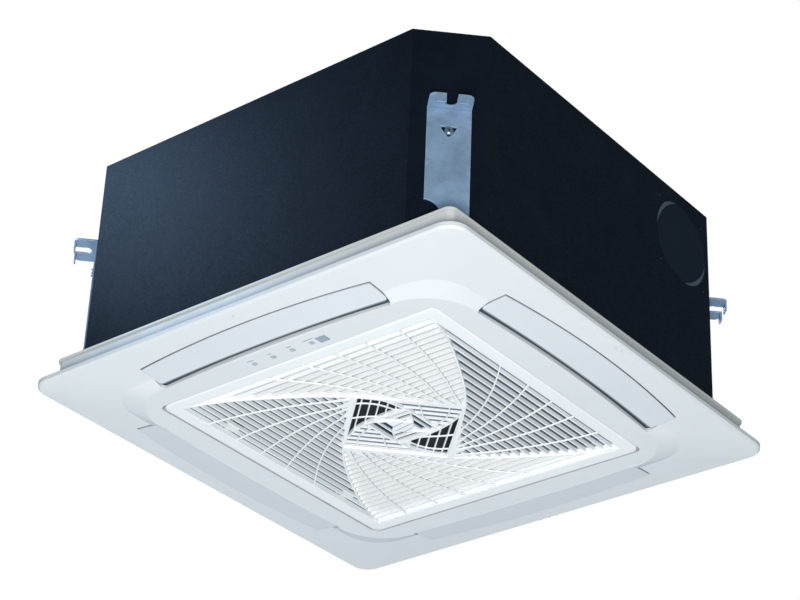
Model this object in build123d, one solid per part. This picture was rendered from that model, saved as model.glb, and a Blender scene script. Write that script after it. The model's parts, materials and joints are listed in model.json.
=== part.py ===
from build123d import *
import os
from math import cos, pi, radians, sin, sqrt, tan

# Ceiling cassette air conditioner, four-way blow. Millimetres.
# +Z is up. The origin is the centre of the intake grille, on its lowest face.
# -Y is the side with the indicator lamps, +X the side with the round duct knockout.
# Pieces that repeat on the four sides are drawn on the +X side, where u is the
# distance from the centre, and then turned about Z.

# ------------------------------------------------------------------ driving sizes

# decoration panel
PANEL_W = 620.0            # outer width
PANEL_R = 24.0             # corner radius in plan
EDGE_Z = 11.0              # lower edge of the rim, above the grille's face
RIM_H = 7.5
RIM_BEVEL = 2.5
PANEL_WALL = 2.5
CROWN_HALF = 246.0         # inner border of the crowned outer surface
CROWN_R = 50.0
CROWN_Z = 6.5
PLATEAU_HALF = 231.0       # border of the flat centre, a step lower
PLATEAU_R = 66.0
BOW = 5.0                  # the borders' sides bow outwards by this much
PANEL_H = 50.0             # grille face to the top of the back frame
BACK_HALF = 289.0          # upright back frame
BACK_R = 8.0
BACK_T = 1.9
LIP = 2.5                  # lip round the back frame's top
COLLAR_T = 2.4             # upright wall round the intake
COLLAR_TOP = 30.0
LUG_L = 15.0               # corner pads for the panel screws
LUG_Z = 27.0
LUG_T = 3.0
FLANGE_W = 28.0            # flanges inside the back frame's corners
FLANGE_T = 2.0
FLANGE_ROOM = 3.0          # from a flange to the ducts
SCREW_R = 2.2
SCREW_HEAD_R = 4.6
SCREW_HEAD_H = 3.0
SCREW_BITE = 12.0          # how far the panel screws go past the casing's gussets

# lamps and receiver
LAMP_X = (-41.0, -13.0, 15.0, 43.0)
LAMP_Y = -217.5
LAMP_W = 6.5
LAMP_SOFT = 1.2
RECEIVER_X = 58.5
RECEIVER_W = 14.0
RECEIVER_L = 12.0
BOARD_T = 1.6
BOARD_END = 17.0           # the display board passes the outer lamps by this much
BOARD_HALF = 9.0           # half its width
CHIP_HALF = 4.0            # receiver module
CHIP_H = 4.5
PLUG_HALF = 5.0            # half size of the display board's plug
PLUG_IN = 9.0              # from the board's end to the plug's middle

# flaps and outlet ducts
FLAP_IN = 236.0            # inner edge at the flap's ends
FLAP_IN_BOW = 5.5
FLAP_OUT = 271.0           # outer edge at the flap's ends
FLAP_OUT_BOW = 11.0
FLAP_HALF = 167.0          # half length
FLAP_T = 2.4
FLAP_TILT = 5.4            # degrees, follows the crowned plate
FLAP_Z = 3.8               # underside of the inner edge
GAP_IN = 4.0
SLOT_R = 6.0               # inner corners of an outlet slot
FLAP_R_IN = 7.0
FLAP_R_OUT = 2.5
GAP_OUT = 1.0
GAP_END = 1.2
AXIS_U = 248.0             # flap's shaft
AXIS_Z = 15.5
PIN_R = 2.0
EAR_T = 2.2
EAR_FOOT_IN = 7.0          # the ear's foot reaches this far from the shaft's plane, inwards
EAR_FOOT_OUT = 8.0         # and outwards
EAR_TIP = 1.4              # from the pin's surface to the ear's outline
PIN_SHORT = 0.2            # the pins end this far inside the duct's walls
RUNNING = 0.06             # radial clearance of a turning pin
DUCT_T = 2.5
DUCT_BACK = 3.5            # the duct's inner wall stands back from the slot
DUCT_OUT = 0.2

# flap motors
CAN_R = 9.5
CAN_L = 14.0
CAN_OFFSET = 5.5           # the can's centre above the flap's shaft
TAB_HALF = 15.0            # mounting tab of the can
TAB_T = 1.2
TAB_W = 6.0
PLUG_W = 8.0               # wire block on the can
PLUG_L = 9.0
PLUG_SET = 3.0
PLUG_RISE = 3.5            # above the can's rim
PLUG_SINK = 2.5            # below it

# intake grille
OPEN_HALF = 202.6          # opening in the panel
OPEN_R = 10.0
SEAM = 1.6                 # gap round the grille's frame
GRILLE_R = 12.0            # larger than the opening's, so that the frame swings clear
GRILLE_RIM = 16.5          # flat border of the grille's frame
FRAME_SOFT = 2.4
LOUVRE_Z = 0.8             # the louvre sits this far behind the frame's face
LOUVRE_H = 8.4             # the slats are deep, so that little shows between them
RIB_H = 1.6                # depth of the ribs in front of the slats
CENTRE_SET = 2.2           # the inner whirls sit this much deeper
SLAT_PITCH = 10.3
SLAT_T = 1.8
SLAT_FIRST = 0.9           # the first slat's middle inside the border
FINE_SLAT_T = 1.5          # the inner whirls' slats, ribs and arms
FINE_RIB_T = 1.5
FINE_ARM_T = 1.8
EYE_ARM_T = 1.6
CENTRE_FIRST = 0.2
EYE_FIRST = 0.6
EYE_PITCH = 9.7
LEAST_GAP = 1.0            # slots narrower than this are left closed
RIB_EDGE = 1.8             # border of the ribs' layer
EYE_EDGE = 1.4
RIB_T = 1.7
ARM_T = 2.2
CENTRE_TURN = 46.2         # degrees, the second whirl against the first
CENTRE_RIM = 3.2           # the second whirl laps this far over the first one's hole
SKIRT_SET = 2.0            # ledge between the louvre's opening and the skirt
SKIRT_T = 2.0
LEDGE_Z = 9.6              # the filter lies on this ledge
SKIRT_H = 3.0              # the skirt rises this far round the filter
SKIRT_R = 3.0
NECK_GAP = 1.5             # each side of a latch's neck

# grille hinge and latches
HINGE_Z = 4.8
HINGE_SET = 4.0            # hinge line outside the skirt
HINGE_R = 1.2
HINGE_Y = 77.0
HOOK_W = 5.5
HOOK_WALL = 0.75
HOOK_WEB_Z = 20.5
HOOK_WEB_H = 6.5
HOOK_GAP = 0.7             # each side of a hook, to the ears that hold its pin
HINGE_EAR_T = 2.0
LATCH_Y = 108.0
LATCH_Z = 7.1              # the finger tabs slide at this height, in notches of the slats' backs
LATCH_TRAVEL = 4.0
LATCH_W = 22.0
NECK_W = 6.0
LATCH_SEAM = 2.4           # bolt's end inside the frame's edge
BOLT_ROOM = 0.5            # left between bolt and skirt at the end of the travel
TAB_L = 9.0                # finger tab
TAB_NARROW = 1.5           # each side, against the bolt
TAB_REACH = 2.0            # past the filter's border
LATCH_GAP = 0.1

# filter
FILTER_T = 3.0
FILTER_BORDER = 17.2
FILTER_GAP = 1.0
FILTER_BAR = 4.0
NET_T = 1.0

# casing
BODY_W = 575.0
BODY_H = 260.0
CUT = 62.0                 # legs of three cut corners
CUT_LEFT = 40.0            # legs of the (-X, -Y) corner
SHEET_T = 1.2
LINER_T = 14.0
LINER_TOP_T = 12.0
GUSSET_SET = 11.0          # the corner gussets reach in past the panel screws

# duct knockout
KNOCK_R = 54.0
KNOCK_SLIT = 1.6
KNOCK_BULGE = 4.0          # the wide slits grow by this much in the middle
KNOCK_Y = 165.5
KNOCK_DROP = 69.5          # centre below the casing's top
DUCT_HOLE_Y = 94.0
DUCT_HOLE_Z = 90.0
DUCT_HOLE_R = 2.0
DUCT_HOLE_DEEP = 12.0
HOLE_ROOM = 1.0            # the foam's holes are this much larger
TUBE_ROOM = 0.5            # round the pipes, in the sheet and the foam

# drain pan, fan, motor
PAN_H = 45.0
TROUGH = 14.0
TROUGH_OUT = 6.0           # beyond the coil's outer face
TROUGH_IN = 8.0            # beyond its inner face
BOX_ROOM = 1.0             # round the control box
PAN_LIP = 8.0              # the air slots reach this far under the foam lining
SCREW_ROOM = 2.0           # above the panel screws' ends
FAN_R = 170.0
FAN_H = 128.0
FAN_CLEAR = 13.0           # fan's inlet above the drain pan
FAN_T = 3.0
EYE_SET = 18.0             # fan inlet inside the fan's rim
SHROUD_RISE = 26.0
BLADES = 7
BLADE_L = 50.0             # radial depth of a blade
BLADE_SWEEP = 46.0         # degrees
BLADE_T = 5.0
BLADE_CLEAR = 7.0          # blades above the bell mouth's edge
BLADE_SET = 1.0            # blades inside the wheel's rim
BLADE_EDGE = 0.6           # half thickness at a blade's ends
BLADE_STEPS = 4
HUB_D = 78.0               # the hub's boss hangs this far below the back plate
BOSS_H = 12.0
CUP_GAP = 5.0              # between the motor and the hub's cup
NUT_R = 11.0
NUT_H = 10.0
WASHER_R = 15.0
WASHER_T = 2.0
MOUTH_GAP = 12.0           # bell mouth inside the fan's inlet
MOUTH_OVERLAP = 6.0
MOUTH_T = 3.0
MOUTH_FLARE = 12.0
MOUTH_BEND = 13.0          # slope from the flange into the throat
MOTOR_R = 52.0
MOTOR_NECK_R = 24.0
MOTOR_NECK_L = 10.0
SHAFT_R = 6.0
SHAFT_L = 60.0
MOUNT_R = 68.0             # pitch radius of the rubber mounts
MOUNT_H = 22.0
MOUNT_BUSH_R = 7.0
MOUNT_PLATE = 4.0          # flange that the mounts carry
MOUNT_EDGE = 2.0           # flange beyond the mounts
MOTOR_SET = 22.0           # motor's neck above the hub's lower end
SHAFT_LOW = 0.3            # share of the shaft below the hub's lower end

# heat exchanger
COIL_HALF = 218.0
COIL_T = 24.0
COIL_R = 54.0
COIL_DIP = 10.0            # how deep it stands in the pan's trough
COIL_CLEAR = 12.0          # below the liner
COIL_GAP = 78.0            # open corner where the pipes leave
END_T = 1.5
END_LAP = 3.0
TOP_LIFT = 12.0            # headers pass their pipe by this much

# refrigerant pipes, all on the -X side
GAS_R = 6.35
LIQUID_R = 3.175
GAS_THREAD_R = 9.525
LIQUID_THREAD_R = 5.556
GAS_HEADER_R = 9.0
LIQUID_HEADER_R = 6.0
PIPE_WALL = 1.2
UNION_HEX = 6.0
UNION_L = 12.0
GAS_Y = 160.0
GAS_DROP = 60.0            # below the casing's top
LIQUID_Y = 186.0
LIQUID_DROP = 100.0
WINDOW_EDGE = 14.0         # opening round the pipes

# drain
DRAIN_R = 12.5
DRAIN_WALL = 2.0
DRAIN_Y = 211.0
DRAIN_DROP = 48.0
DRAIN_COLLAR = 2.0         # the sealing collar's rim and thickness
SPIGOT_L = 20.0
PUMP_X = -232.0
PUMP_R = 22.0
PUMP_H = 60.0
PUMP_FOOT = 14.0
PORT_SINK = 3.0            # the pump's plug housing, sunk into its wall
PORT_L = 12.0
PORT_HALF = 6.0
PORT_DROP = 4.0            # below the pump's top
PORT_H = 12.0
FLOAT_X = -260.0
FLOAT_SIDE = 12.0          # float's axis beyond the end of the pan's slot
FLOAT_R = 9.0
FLOAT_H = 16.0
STEM_R = 2.5
STEM_H = 24.0
CAP_HALF = 8.0
CAP_H = 6.0

# electrics
BOX_HALF = 120.0
BOX_IN = 173.0
BOX_OUT = 219.0
BOX_LOW = 34.0
BOX_H = 50.0
CABLE_X = -150.0
CABLE_Z = 118.0
CABLE_R = 8.0
GROMMET_T = 2.0
SENSOR_X = -185.0
SENSOR_Y = 130.0

# hanger brackets
BRACKET_W = 49.0
BRACKET_T = 2.0
BRACKET_Z = 204.6          # underside of the flange
BRACKET_LOW = 54.0
BRACKET_OUT = 28.0
BRACKET_R = 7.0            # flange's outer corners
LIP_DROP = 10.0
NOTCH_R = 17.8
NOTCH_Z = 67.0
ROD_R = 7.0
ROD_OUT = 14.0             # rod's axis in front of the corner face
ROD_NECK = 13.0
DIMPLE_Z = 173.5
DIMPLE_W = 22.0
DIMPLE_H = 16.0
DIMPLE_D = 0.8
BRACKET_SCREW_R = 2.5

# ------------------------------------------------------------------ places that follow

RIM_TOP = EDGE_Z + RIM_H
SIDES = {"right": 0, "back": 90, "left": 180, "front": 270}
CORNERS = {"near": -45, "right": 45, "far": 135, "left": 225}
SIGNS = (-1, 1)

GRILLE_HALF = OPEN_HALF - SEAM
LOUVRE_HALF = GRILLE_HALF - GRILLE_RIM
LOUVRE_TOP = LOUVRE_Z + LOUVRE_H
SKIRT_IN = LOUVRE_HALF + SKIRT_SET
SKIRT_OUT = SKIRT_IN + SKIRT_T
SKIRT_TOP = LEDGE_Z + SKIRT_H
HINGE_X = SKIRT_OUT + HINGE_SET
HOOK_R = HINGE_R + RUNNING + HOOK_WALL
FILTER_HALF = SKIRT_IN - FILTER_GAP
NET_HALF = FILTER_HALF - FILTER_BORDER

SLOT_IN = FLAP_IN - GAP_IN
SLOT_OUT = FLAP_OUT + GAP_OUT
SLOT_HALF = FLAP_HALF + GAP_END
DUCT_IN = SLOT_IN - DUCT_BACK
MOTOR_Y = SLOT_HALF + DUCT_T

BODY_Z0 = PANEL_H
BODY_Z1 = BODY_Z0 + BODY_H
CEILING = BODY_Z1 - SHEET_T
BODY_HALF = BODY_W / 2
LINED_HALF = BODY_HALF - SHEET_T - LINER_T
FLOOR = BODY_Z0 + SHEET_T
PAN_TOP = BODY_Z0 + PAN_H
LUG_AT = OPEN_HALF - LUG_L / 2
SCREW_PLACES = [(a * LUG_AT, b * LUG_AT) for a in SIGNS for b in SIGNS]
SCREW_TOP = FLOOR + SCREW_BITE

KNOCK_Z = BODY_Z1 - KNOCK_DROP
DUCT_HOLES = [(KNOCK_Y + a * DUCT_HOLE_Y / 2, KNOCK_Z + b * DUCT_HOLE_Z / 2) for a in SIGNS for b in SIGNS]

EYE_R = FAN_R - EYE_SET
MOUTH_R = EYE_R - MOUTH_GAP
MOUNTS_Z = CEILING - MOUNT_H
FAN_LOW = PAN_TOP + FAN_CLEAR
FAN_TOP = FAN_LOW + FAN_H
HUB_Z = FAN_TOP - HUB_D
SHAFT_Z0 = HUB_Z - SHAFT_LOW * SHAFT_L
COIL_Z0 = PAN_TOP - COIL_DIP
COIL_Z1 = CEILING - LINER_TOP_T - COIL_CLEAR

GAS_Z = BODY_Z1 - GAS_DROP
LIQUID_Z = BODY_Z1 - LIQUID_DROP
DRAIN_Z = BODY_Z1 - DRAIN_DROP
DRAIN_PIPE_R = DRAIN_R - DRAIN_WALL
HEADER_X = -COIL_HALF + COIL_T / 2
FLOAT_Y = SLOT_HALF + FLOAT_SIDE
BOX_TOP = BOX_LOW + BOX_H

os.makedirs("parts", exist_ok=True)

# ------------------------------------------------------------------ helpers


def box(x0, x1, y0, y1, z0, z1):
    return Pos((x0 + x1) / 2, (y0 + y1) / 2, (z0 + z1) / 2) * Box(x1 - x0, y1 - y0, z1 - z0)


def cyl(x, y, z0, z1, r):
    return Pos(x, y, (z0 + z1) / 2) * Cylinder(r, z1 - z0)


def cyl_x(y, z, x0, x1, r):
    return Pos((x0 + x1) / 2, y, z) * Rot(0, 90, 0) * Cylinder(r, abs(x1 - x0))


def cyl_y(x, z, y0, y1, r):
    return Pos(x, (y0 + y1) / 2, z) * Rot(90, 0, 0) * Cylinder(r, abs(y1 - y0))


def poly(points):
    return make_face(Polyline(*points, close=True))


def prism(face, z0, z1):
    return extrude(Pos(0, 0, z0) * face, z1 - z0)


def ring(outer, inner, z0, z1):
    return prism(outer, z0, z1) - prism(inner, z0 - 1, z1 + 1)


def frustum(low, z0, high, z1):
    """Solid between two outlines whose edges are parallel in pairs, with flat faces."""
    floor = [Vector(x, y, z0) for x, y in low]
    roof = [Vector(x, y, z1) for x, y in high]
    outlines = [floor, roof]
    for k in range(len(low)):
        n = (k + 1) % len(low)
        outlines.append([floor[k], floor[n], roof[n], roof[k]])
    faces = [Face(Wire.make_polygon(points, close=True)) for points in outlines]
    return Solid(Shell(faces))


def lathe(points):
    """Turned piece from (radius, z) points."""
    return revolve(Plane.XZ * poly(points), Axis.Z)


def square(half, r, bow=0.0):
    """Rounded square whose sides may bow outwards."""
    corners = [(-half, -half), (half, -half), (half, half), (-half, half)]
    middles = [(0, -half - bow), (half + bow, 0), (0, half + bow), (-half - bow, 0)]
    edges = []
    for k in range(4):
        a, b = corners[k], corners[(k + 1) % 4]
        edges.append(ThreePointArc(a, middles[k], b) if bow else Line(a, b))
    face = make_face(edges)
    return fillet(face.vertices(), r)


def leg(r):
    """Legs of a straight corner cut that is as deep as a corner radius."""
    return (2 - sqrt(2)) * r


def octagon_points(half, legs):
    """Square with cut corners; legs are those of the near, right, far and left corners."""
    a, b, c, d = legs
    return [(half - a, -half), (half, -half + a), (half, half - b), (half - b, half),
            (-half + c, half), (-half, half - c), (-half, -half + d), (-half + d, -half)]


def body_points(inset):
    """The casing's outline, moved inwards by inset."""
    legs = [c - leg(inset) for c in (CUT, CUT, CUT, CUT_LEFT)]
    return octagon_points(BODY_HALF - inset, legs)


def even_octagon(half, cut):
    return octagon_points(half, (cut, cut, cut, cut))


def wall_panels(outset, inset, z0, z1):
    """The casing's eight walls between two insets, mitred where they meet."""
    outer, inner = body_points(outset), body_points(inset)
    panels = []
    for k in range(8):
        n = (k + 1) % 8
        panels.append(prism(poly([outer[k], outer[n], inner[n], inner[k]]), z0, z1))
    return panels


# numbers of some wall panels, which start at the near corner and go round towards +Y
RIGHT, BACK, FAR, LEFT = 1, 3, 4, 5


def slot(u_in, bow_in, u_out, bow_out, half, r_in, r_out):
    """Outline on the +X side whose long edges bow outwards."""
    edges = [Line((u_in, -half), (u_out, -half)),
             ThreePointArc((u_out, -half), (u_out + bow_out, 0), (u_out, half)),
             Line((u_out, half), (u_in, half)),
             ThreePointArc((u_in, half), (u_in + bow_in, 0), (u_in, -half))]
    face = make_face(edges)
    middle = (u_in + u_out) / 2
    if r_in:
        face = fillet([v for v in face.vertices() if v.X < middle], r_in)
    if r_out:
        face = fillet([v for v in face.vertices() if v.X > middle], r_out)
    return face


def on_side(name, shape):
    return Rot(0, 0, SIDES[name]) * shape


def at_corner(name, shape):
    """From a corner face's own plane (X along it, Y outwards) to its place."""
    cut = CUT_LEFT if name == "left" else CUT
    distance = (BODY_W - cut) / sqrt(2)
    return Rot(0, 0, CORNERS[name] - 90) * Pos(0, distance, 0) * shape


def save(name, shape):
    if isinstance(shape, (list, ShapeList)):
        shape = Compound(children=list(shape))
    export_step(shape, "parts/" + name + ".step")


# ------------------------------------------------------------------ decoration panel


def crown_z(u):
    """Underside of the crowned outer surface at the distance u."""
    rise = (EDGE_Z - CROWN_Z) / (PANEL_W / 2 - RIM_BEVEL - CROWN_HALF)
    return CROWN_Z + rise * (u - CROWN_HALF)


VOID_TOP = crown_z(BACK_HALF) + PANEL_WALL


def panel_void(top):
    """Space behind the panel's skin, up to a height."""
    low = even_octagon(PLATEAU_HALF - PANEL_WALL, leg(PLATEAU_R) + 2 * PANEL_WALL)
    middle = even_octagon(CROWN_HALF - PANEL_WALL, leg(CROWN_R))
    high = even_octagon(BACK_HALF, leg(BACK_R))
    middle_z = CROWN_Z + PANEL_WALL
    void = frustum(low, PANEL_WALL, middle, middle_z) + frustum(middle, middle_z, high, VOID_TOP)
    return void + prism(poly(high), VOID_TOP, top)


def step_section(z):
    """Outline of the step between the plateau and the crown at a height."""
    share = z / CROWN_Z
    half = PLATEAU_HALF + share * (CROWN_HALF - PLATEAU_HALF)
    return Pos(0, 0, z) * square(half, PLATEAU_R + share * (CROWN_R - PLATEAU_R), BOW)


def panel_skin():
    rim = prism(square(PANEL_W / 2, PANEL_R), EDGE_Z, RIM_TOP)
    rim = chamfer(rim.faces().sort_by(Axis.Z)[0].edges(), RIM_BEVEL)
    step = loft([step_section(0), step_section(CROWN_Z + 1)], ruled=True)
    crown_in = Pos(0, 0, CROWN_Z) * square(CROWN_HALF, CROWN_R)
    crown_out = Pos(0, 0, EDGE_Z) * square(PANEL_W / 2 - RIM_BEVEL, PANEL_R - RIM_BEVEL)
    crown = loft([crown_in, crown_out], ruled=True)
    return rim + crown + step - panel_void(RIM_TOP + 1)


def lamp_lens(x, z0, z1):
    half = LAMP_W / 2
    lens = box(x - half, x + half, LAMP_Y - half, LAMP_Y + half, z0, z1)
    return chamfer(lens.edges().filter_by(Axis.Z), LAMP_SOFT)


def receiver(z0, z1):
    return box(RECEIVER_X - RECEIVER_W / 2, RECEIVER_X + RECEIVER_W / 2,
               LAMP_Y - RECEIVER_L / 2, LAMP_Y + RECEIVER_L / 2, z0, z1)


def panel_lugs():
    """Four pads in the opening's corners, which the panel screws pass through."""
    corner = prism(square(OPEN_HALF, OPEN_R), LUG_Z, LUG_Z + LUG_T)
    half = LUG_L / 2
    lugs = []
    for x, y in SCREW_PLACES:
        lug = corner & box(x - half, x + half, y - half, y + half, LUG_Z, LUG_Z + LUG_T)
        lugs.append(lug - cyl(x, y, LUG_Z - 1, LUG_Z + LUG_T + 1, SCREW_R))
    return lugs


def panel_collar():
    """Wall round the intake: a straight length along each side and a rounded one at each corner."""
    straight = OPEN_HALF - OPEN_R
    out = OPEN_HALF + COLLAR_T
    side = box(OPEN_HALF, out, -straight, straight, PANEL_WALL, COLLAR_TOP)
    corner = prism(square(out, OPEN_R + COLLAR_T) - square(OPEN_HALF, OPEN_R), PANEL_WALL, COLLAR_TOP)
    corner &= box(straight, out, straight, out, PANEL_WALL, COLLAR_TOP)
    return [on_side(name, piece) for name in SIDES for piece in (side, corner)]


def panel_frame():
    frame = panel_skin() - prism(square(OPEN_HALF, OPEN_R), -1, PANEL_WALL + 1)
    opening = slot(SLOT_IN, FLAP_IN_BOW, SLOT_OUT, FLAP_OUT_BOW, SLOT_HALF, SLOT_R, 0)
    for name in SIDES:
        frame -= on_side(name, prism(opening, -1, RIM_TOP))
    for x in LAMP_X:
        frame -= lamp_lens(x, -1, PANEL_WALL + 1)
    return frame - receiver(-1, PANEL_WALL + 1)


def back_frame():
    """Upright frame behind the rim, with a lip outside and flanges inside its corners."""
    inner = BACK_HALF - BACK_T
    inside = square(inner, BACK_R - BACK_T)
    frame = ring(square(BACK_HALF, BACK_R), inside, VOID_TOP, PANEL_H)
    frame += ring(square(BACK_HALF + LIP, BACK_R + LIP), inside, PANEL_H - LIP, PANEL_H)
    flange = prism(square(inner + BACK_T / 2, BACK_R), PANEL_H - FLANGE_T, PANEL_H)
    room = MOTOR_Y + FLANGE_ROOM
    free = inner - FLANGE_W
    flange -= box(-room, room, -inner, inner, 0, PANEL_H + 1)
    flange -= box(-inner, inner, -room, room, 0, PANEL_H + 1)
    flange -= box(-free, free, -free, free, 0, PANEL_H + 1)
    return frame + flange


def display_board():
    z0 = PANEL_WALL
    z1 = z0 + BOARD_T
    z2 = z1 + CHIP_H
    left = LAMP_X[0] - BOARD_END
    board = box(left, RECEIVER_X + BOARD_END, LAMP_Y - BOARD_HALF, LAMP_Y + BOARD_HALF, z0, z1)
    for x, half in ((RECEIVER_X, CHIP_HALF), (left + PLUG_IN, PLUG_HALF)):
        board += box(x - half, x + half, LAMP_Y - half, LAMP_Y + half, z1, z2)
    return board


def panel_screws():
    screws = []
    for x, y in SCREW_PLACES:
        head = Pos(x, y, LUG_Z - SCREW_HEAD_H) * extrude(RegularPolygon(SCREW_HEAD_R, 6), SCREW_HEAD_H)
        screws.append(head + cyl(x, y, LUG_Z, SCREW_TOP, SCREW_R))
    return screws


# ------------------------------------------------------------------ flaps and ducts


def duct():
    """Outlet duct, which carries the flap's pins in its end walls."""
    hole = slot(DUCT_IN, FLAP_IN_BOW, SLOT_OUT + DUCT_OUT, FLAP_OUT_BOW, SLOT_HALF, 0, 0)
    skin = slot(DUCT_IN - DUCT_T, FLAP_IN_BOW, SLOT_OUT + DUCT_OUT + DUCT_T, FLAP_OUT_BOW, MOTOR_Y, 0, 0)
    walls = ring(skin, hole, 0, PANEL_H) & panel_void(PANEL_H)
    return walls - cyl_y(AXIS_U, AXIS_Z, -MOTOR_Y - 1, MOTOR_Y + 1, PIN_R + RUNNING)


def flap():
    outline = slot(FLAP_IN, FLAP_IN_BOW, FLAP_OUT, FLAP_OUT_BOW, FLAP_HALF, FLAP_R_IN, FLAP_R_OUT)
    blade = extrude(outline, FLAP_T)
    blade = Pos(FLAP_IN, 0, FLAP_Z) * Rot(0, -FLAP_TILT, 0) * Pos(-FLAP_IN, 0, 0) * blade

    def inside_blade(u):
        return FLAP_Z + FLAP_T / 2 + (u - FLAP_IN) * tan(radians(FLAP_TILT))
    foot_in, foot_out = AXIS_U - EAR_FOOT_IN, AXIS_U + EAR_FOOT_OUT
    tip = PIN_R + EAR_TIP
    profile = poly([(foot_in, inside_blade(foot_in)), (foot_out, inside_blade(foot_out)),
                    (AXIS_U + tip, AXIS_Z + tip), (AXIS_U - tip, AXIS_Z + tip)])
    ear = extrude(Plane.XZ * profile, EAR_T)
    pin_end = MOTOR_Y - PIN_SHORT
    inner = FLAP_HALF - EAR_T
    blade += Pos(0, FLAP_HALF, 0) * ear
    blade += Pos(0, -inner, 0) * ear
    blade += cyl_y(AXIS_U, AXIS_Z, inner, pin_end, PIN_R)
    return blade + cyl_y(AXIS_U, AXIS_Z, -inner, -pin_end, PIN_R)


def flap_motor():
    z = AXIS_Z + CAN_OFFSET
    motor = cyl_y(AXIS_U, z, MOTOR_Y, MOTOR_Y + CAN_L, CAN_R)
    low, high = z - TAB_W / 2, z + TAB_W / 2
    motor += box(AXIS_U - TAB_HALF, AXIS_U + TAB_HALF, MOTOR_Y, MOTOR_Y + TAB_T, low, high)
    y = MOTOR_Y + PLUG_SET
    half = PLUG_W / 2
    rim = z + CAN_R
    return motor + box(AXIS_U - half, AXIS_U + half, y, y + PLUG_L, rim - PLUG_SINK, rim + PLUG_RISE)


# ------------------------------------------------------------------ swirl louvre
# Each whirl has four quarters. A quarter lies between an arm that starts in one corner and the
# arm of the next corner. Its slats stand parallel to the outer side, and curved ribs cross them.
# Arms and ribs are given in the -X quarter of a square of half width 1.

ARM = [(-1, -1), (-.82, -.954), (-.70, -.907), (-.59, -.856), (-.48, -.80), (-.375, -.742), (-.26, -.68),
       (-.147, -.609), (-.022, -.516), (.277, -.234), (.505, -.011)]
RIBS = [((-1, -.745), (-.542, -.669), (-.076, -.496)),
        ((-1, -.477), (-.542, -.499), (-.098, -.425)),
        ((-1, -.238), (-.596, -.35), (-.195, -.396)),
        ((-1, .016), (-.623, -.19), (-.282, -.314)),
        ((-1, .314), (-.721, .044), (-.379, -.187))]
CENTRE_ARM = [(-1, -1), (-.68, -.945), (-.51, -.90), (-.37, -.854), (-.105, -.694), (.064, -.586),
              (.294, -.388), (.47, -.21), (.66, -.01)]
CENTRE_RIBS = [((-1, -.65), (-.62, -.73), (-.25, -.6)),
               ((-1, -.09), (-.65, -.245), (-.3, -.31))]
CENTRE_HALF = ARM[-1][0] * LOUVRE_HALF / sqrt(2)
EYE_HALF = CENTRE_ARM[-1][0] * CENTRE_HALF / sqrt(2)
HUB_HALF = CENTRE_HALF - CENTRE_RIM


def on_line(points, x):
    """Height of a run of straight pieces at x."""
    for (x0, y0), (x1, y1) in zip(points, points[1:]):
        if x <= x1:
            return y0 + (y1 - y0) * (x - x0) / (x1 - x0)
    return points[-1][1]


def on_rib(rib, x):
    """Height of the parabola through a rib's three points at x."""
    (a, ya), (b, yb), (c, yc) = rib
    return (ya * (x - b) * (x - c) / ((a - b) * (a - c)) + yb * (x - a) * (x - c) / ((b - a) * (b - c))
            + yc * (x - a) * (x - b) / ((c - a) * (c - b)))


def edge_of(curve, half, thickness, sign):
    """One edge of an arm or a rib as a function of x, both in millimetres."""
    def height(x):
        t = x / half
        slope = (curve(t + 0.01) - curve(t - 0.01)) / 0.02
        return half * curve(t) + sign * thickness / 2 * sqrt(1 + slope * slope)
    return height


def quarter_lines(half, arm, ribs, arm_t, rib_t):
    """Free bands of a quarter, from its first arm to the next, as pairs of edges."""
    next_arm = [(y, -x) for x, y in arm]
    curves = [(lambda t: on_line(arm, t), arm_t)]
    curves += [(lambda t, rib=rib: on_rib(rib, t), rib_t) for rib in ribs]
    curves += [(lambda t: on_line(next_arm, t), arm_t)]
    bands = []
    for (low, low_t), (high, high_t) in zip(curves, curves[1:]):
        bands.append((edge_of(low, half, low_t, 1), edge_of(high, half, high_t, -1)))
    return bands


def slits(half, arm, pitch, slat_t, arm_t, first):
    """Slots between the slats of one quarter."""
    low, high = quarter_lines(half, arm, [], arm_t, arm_t)[0]
    cells = []
    x = -half + first
    while x < 0:
        x0 = x + slat_t / 2
        x1 = x + pitch - slat_t / 2
        if high(x1) - low(x1) > LEAST_GAP and x1 < -LEAST_GAP:
            cells.append([(x0, low(x0)), (x1, low(x1)), (x1, high(x1)), (x0, high(x0))])
        x += pitch
    return cells


def band_holes(half, arm, ribs, arm_t, rib_t, edge, steps):
    """Free areas between the arms and ribs of one quarter."""
    bands = quarter_lines(half, arm, ribs, arm_t, rib_t)
    holes = []
    for k in range(len(bands)):
        def bottom(x, lows=bands[:k + 1]):
            return max([edge - half] + [low(x) for low, _ in lows])

        def top(x, highs=bands[k:]):
            return min([half - edge] + [high(x) for _, high in highs])
        start = -half + edge
        end = start
        while top(end + 1) - bottom(end + 1) > LEAST_GAP and end < -2 * LEAST_GAP:
            end += 1
        xs = [start + (end - start) * k / steps for k in range(steps + 1)]
        holes.append([(x, bottom(x)) for x in xs] + [(x, top(x)) for x in reversed(xs)])
    return holes


def turned(points, degrees):
    c, s = cos(radians(degrees)), sin(radians(degrees))
    return [(x * c - y * s, x * s + y * c) for x, y in points]


def four_ways(cells, offset=0.0):
    return [turned(cell, 90 * k + offset) for cell in cells for k in range(4)]


def square_points(half):
    return [(-half, -half), (half, -half), (half, half), (-half, half)]


def holed_plate(outline, holes, z0, z1):
    wires = [Wire.make_polygon([Vector(x, y, z0) for x, y in pts], close=True) for pts in [outline] + holes]
    return extrude(Face(wires[0], wires[1:]), z1 - z0, dir=(0, 0, 1))


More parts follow.
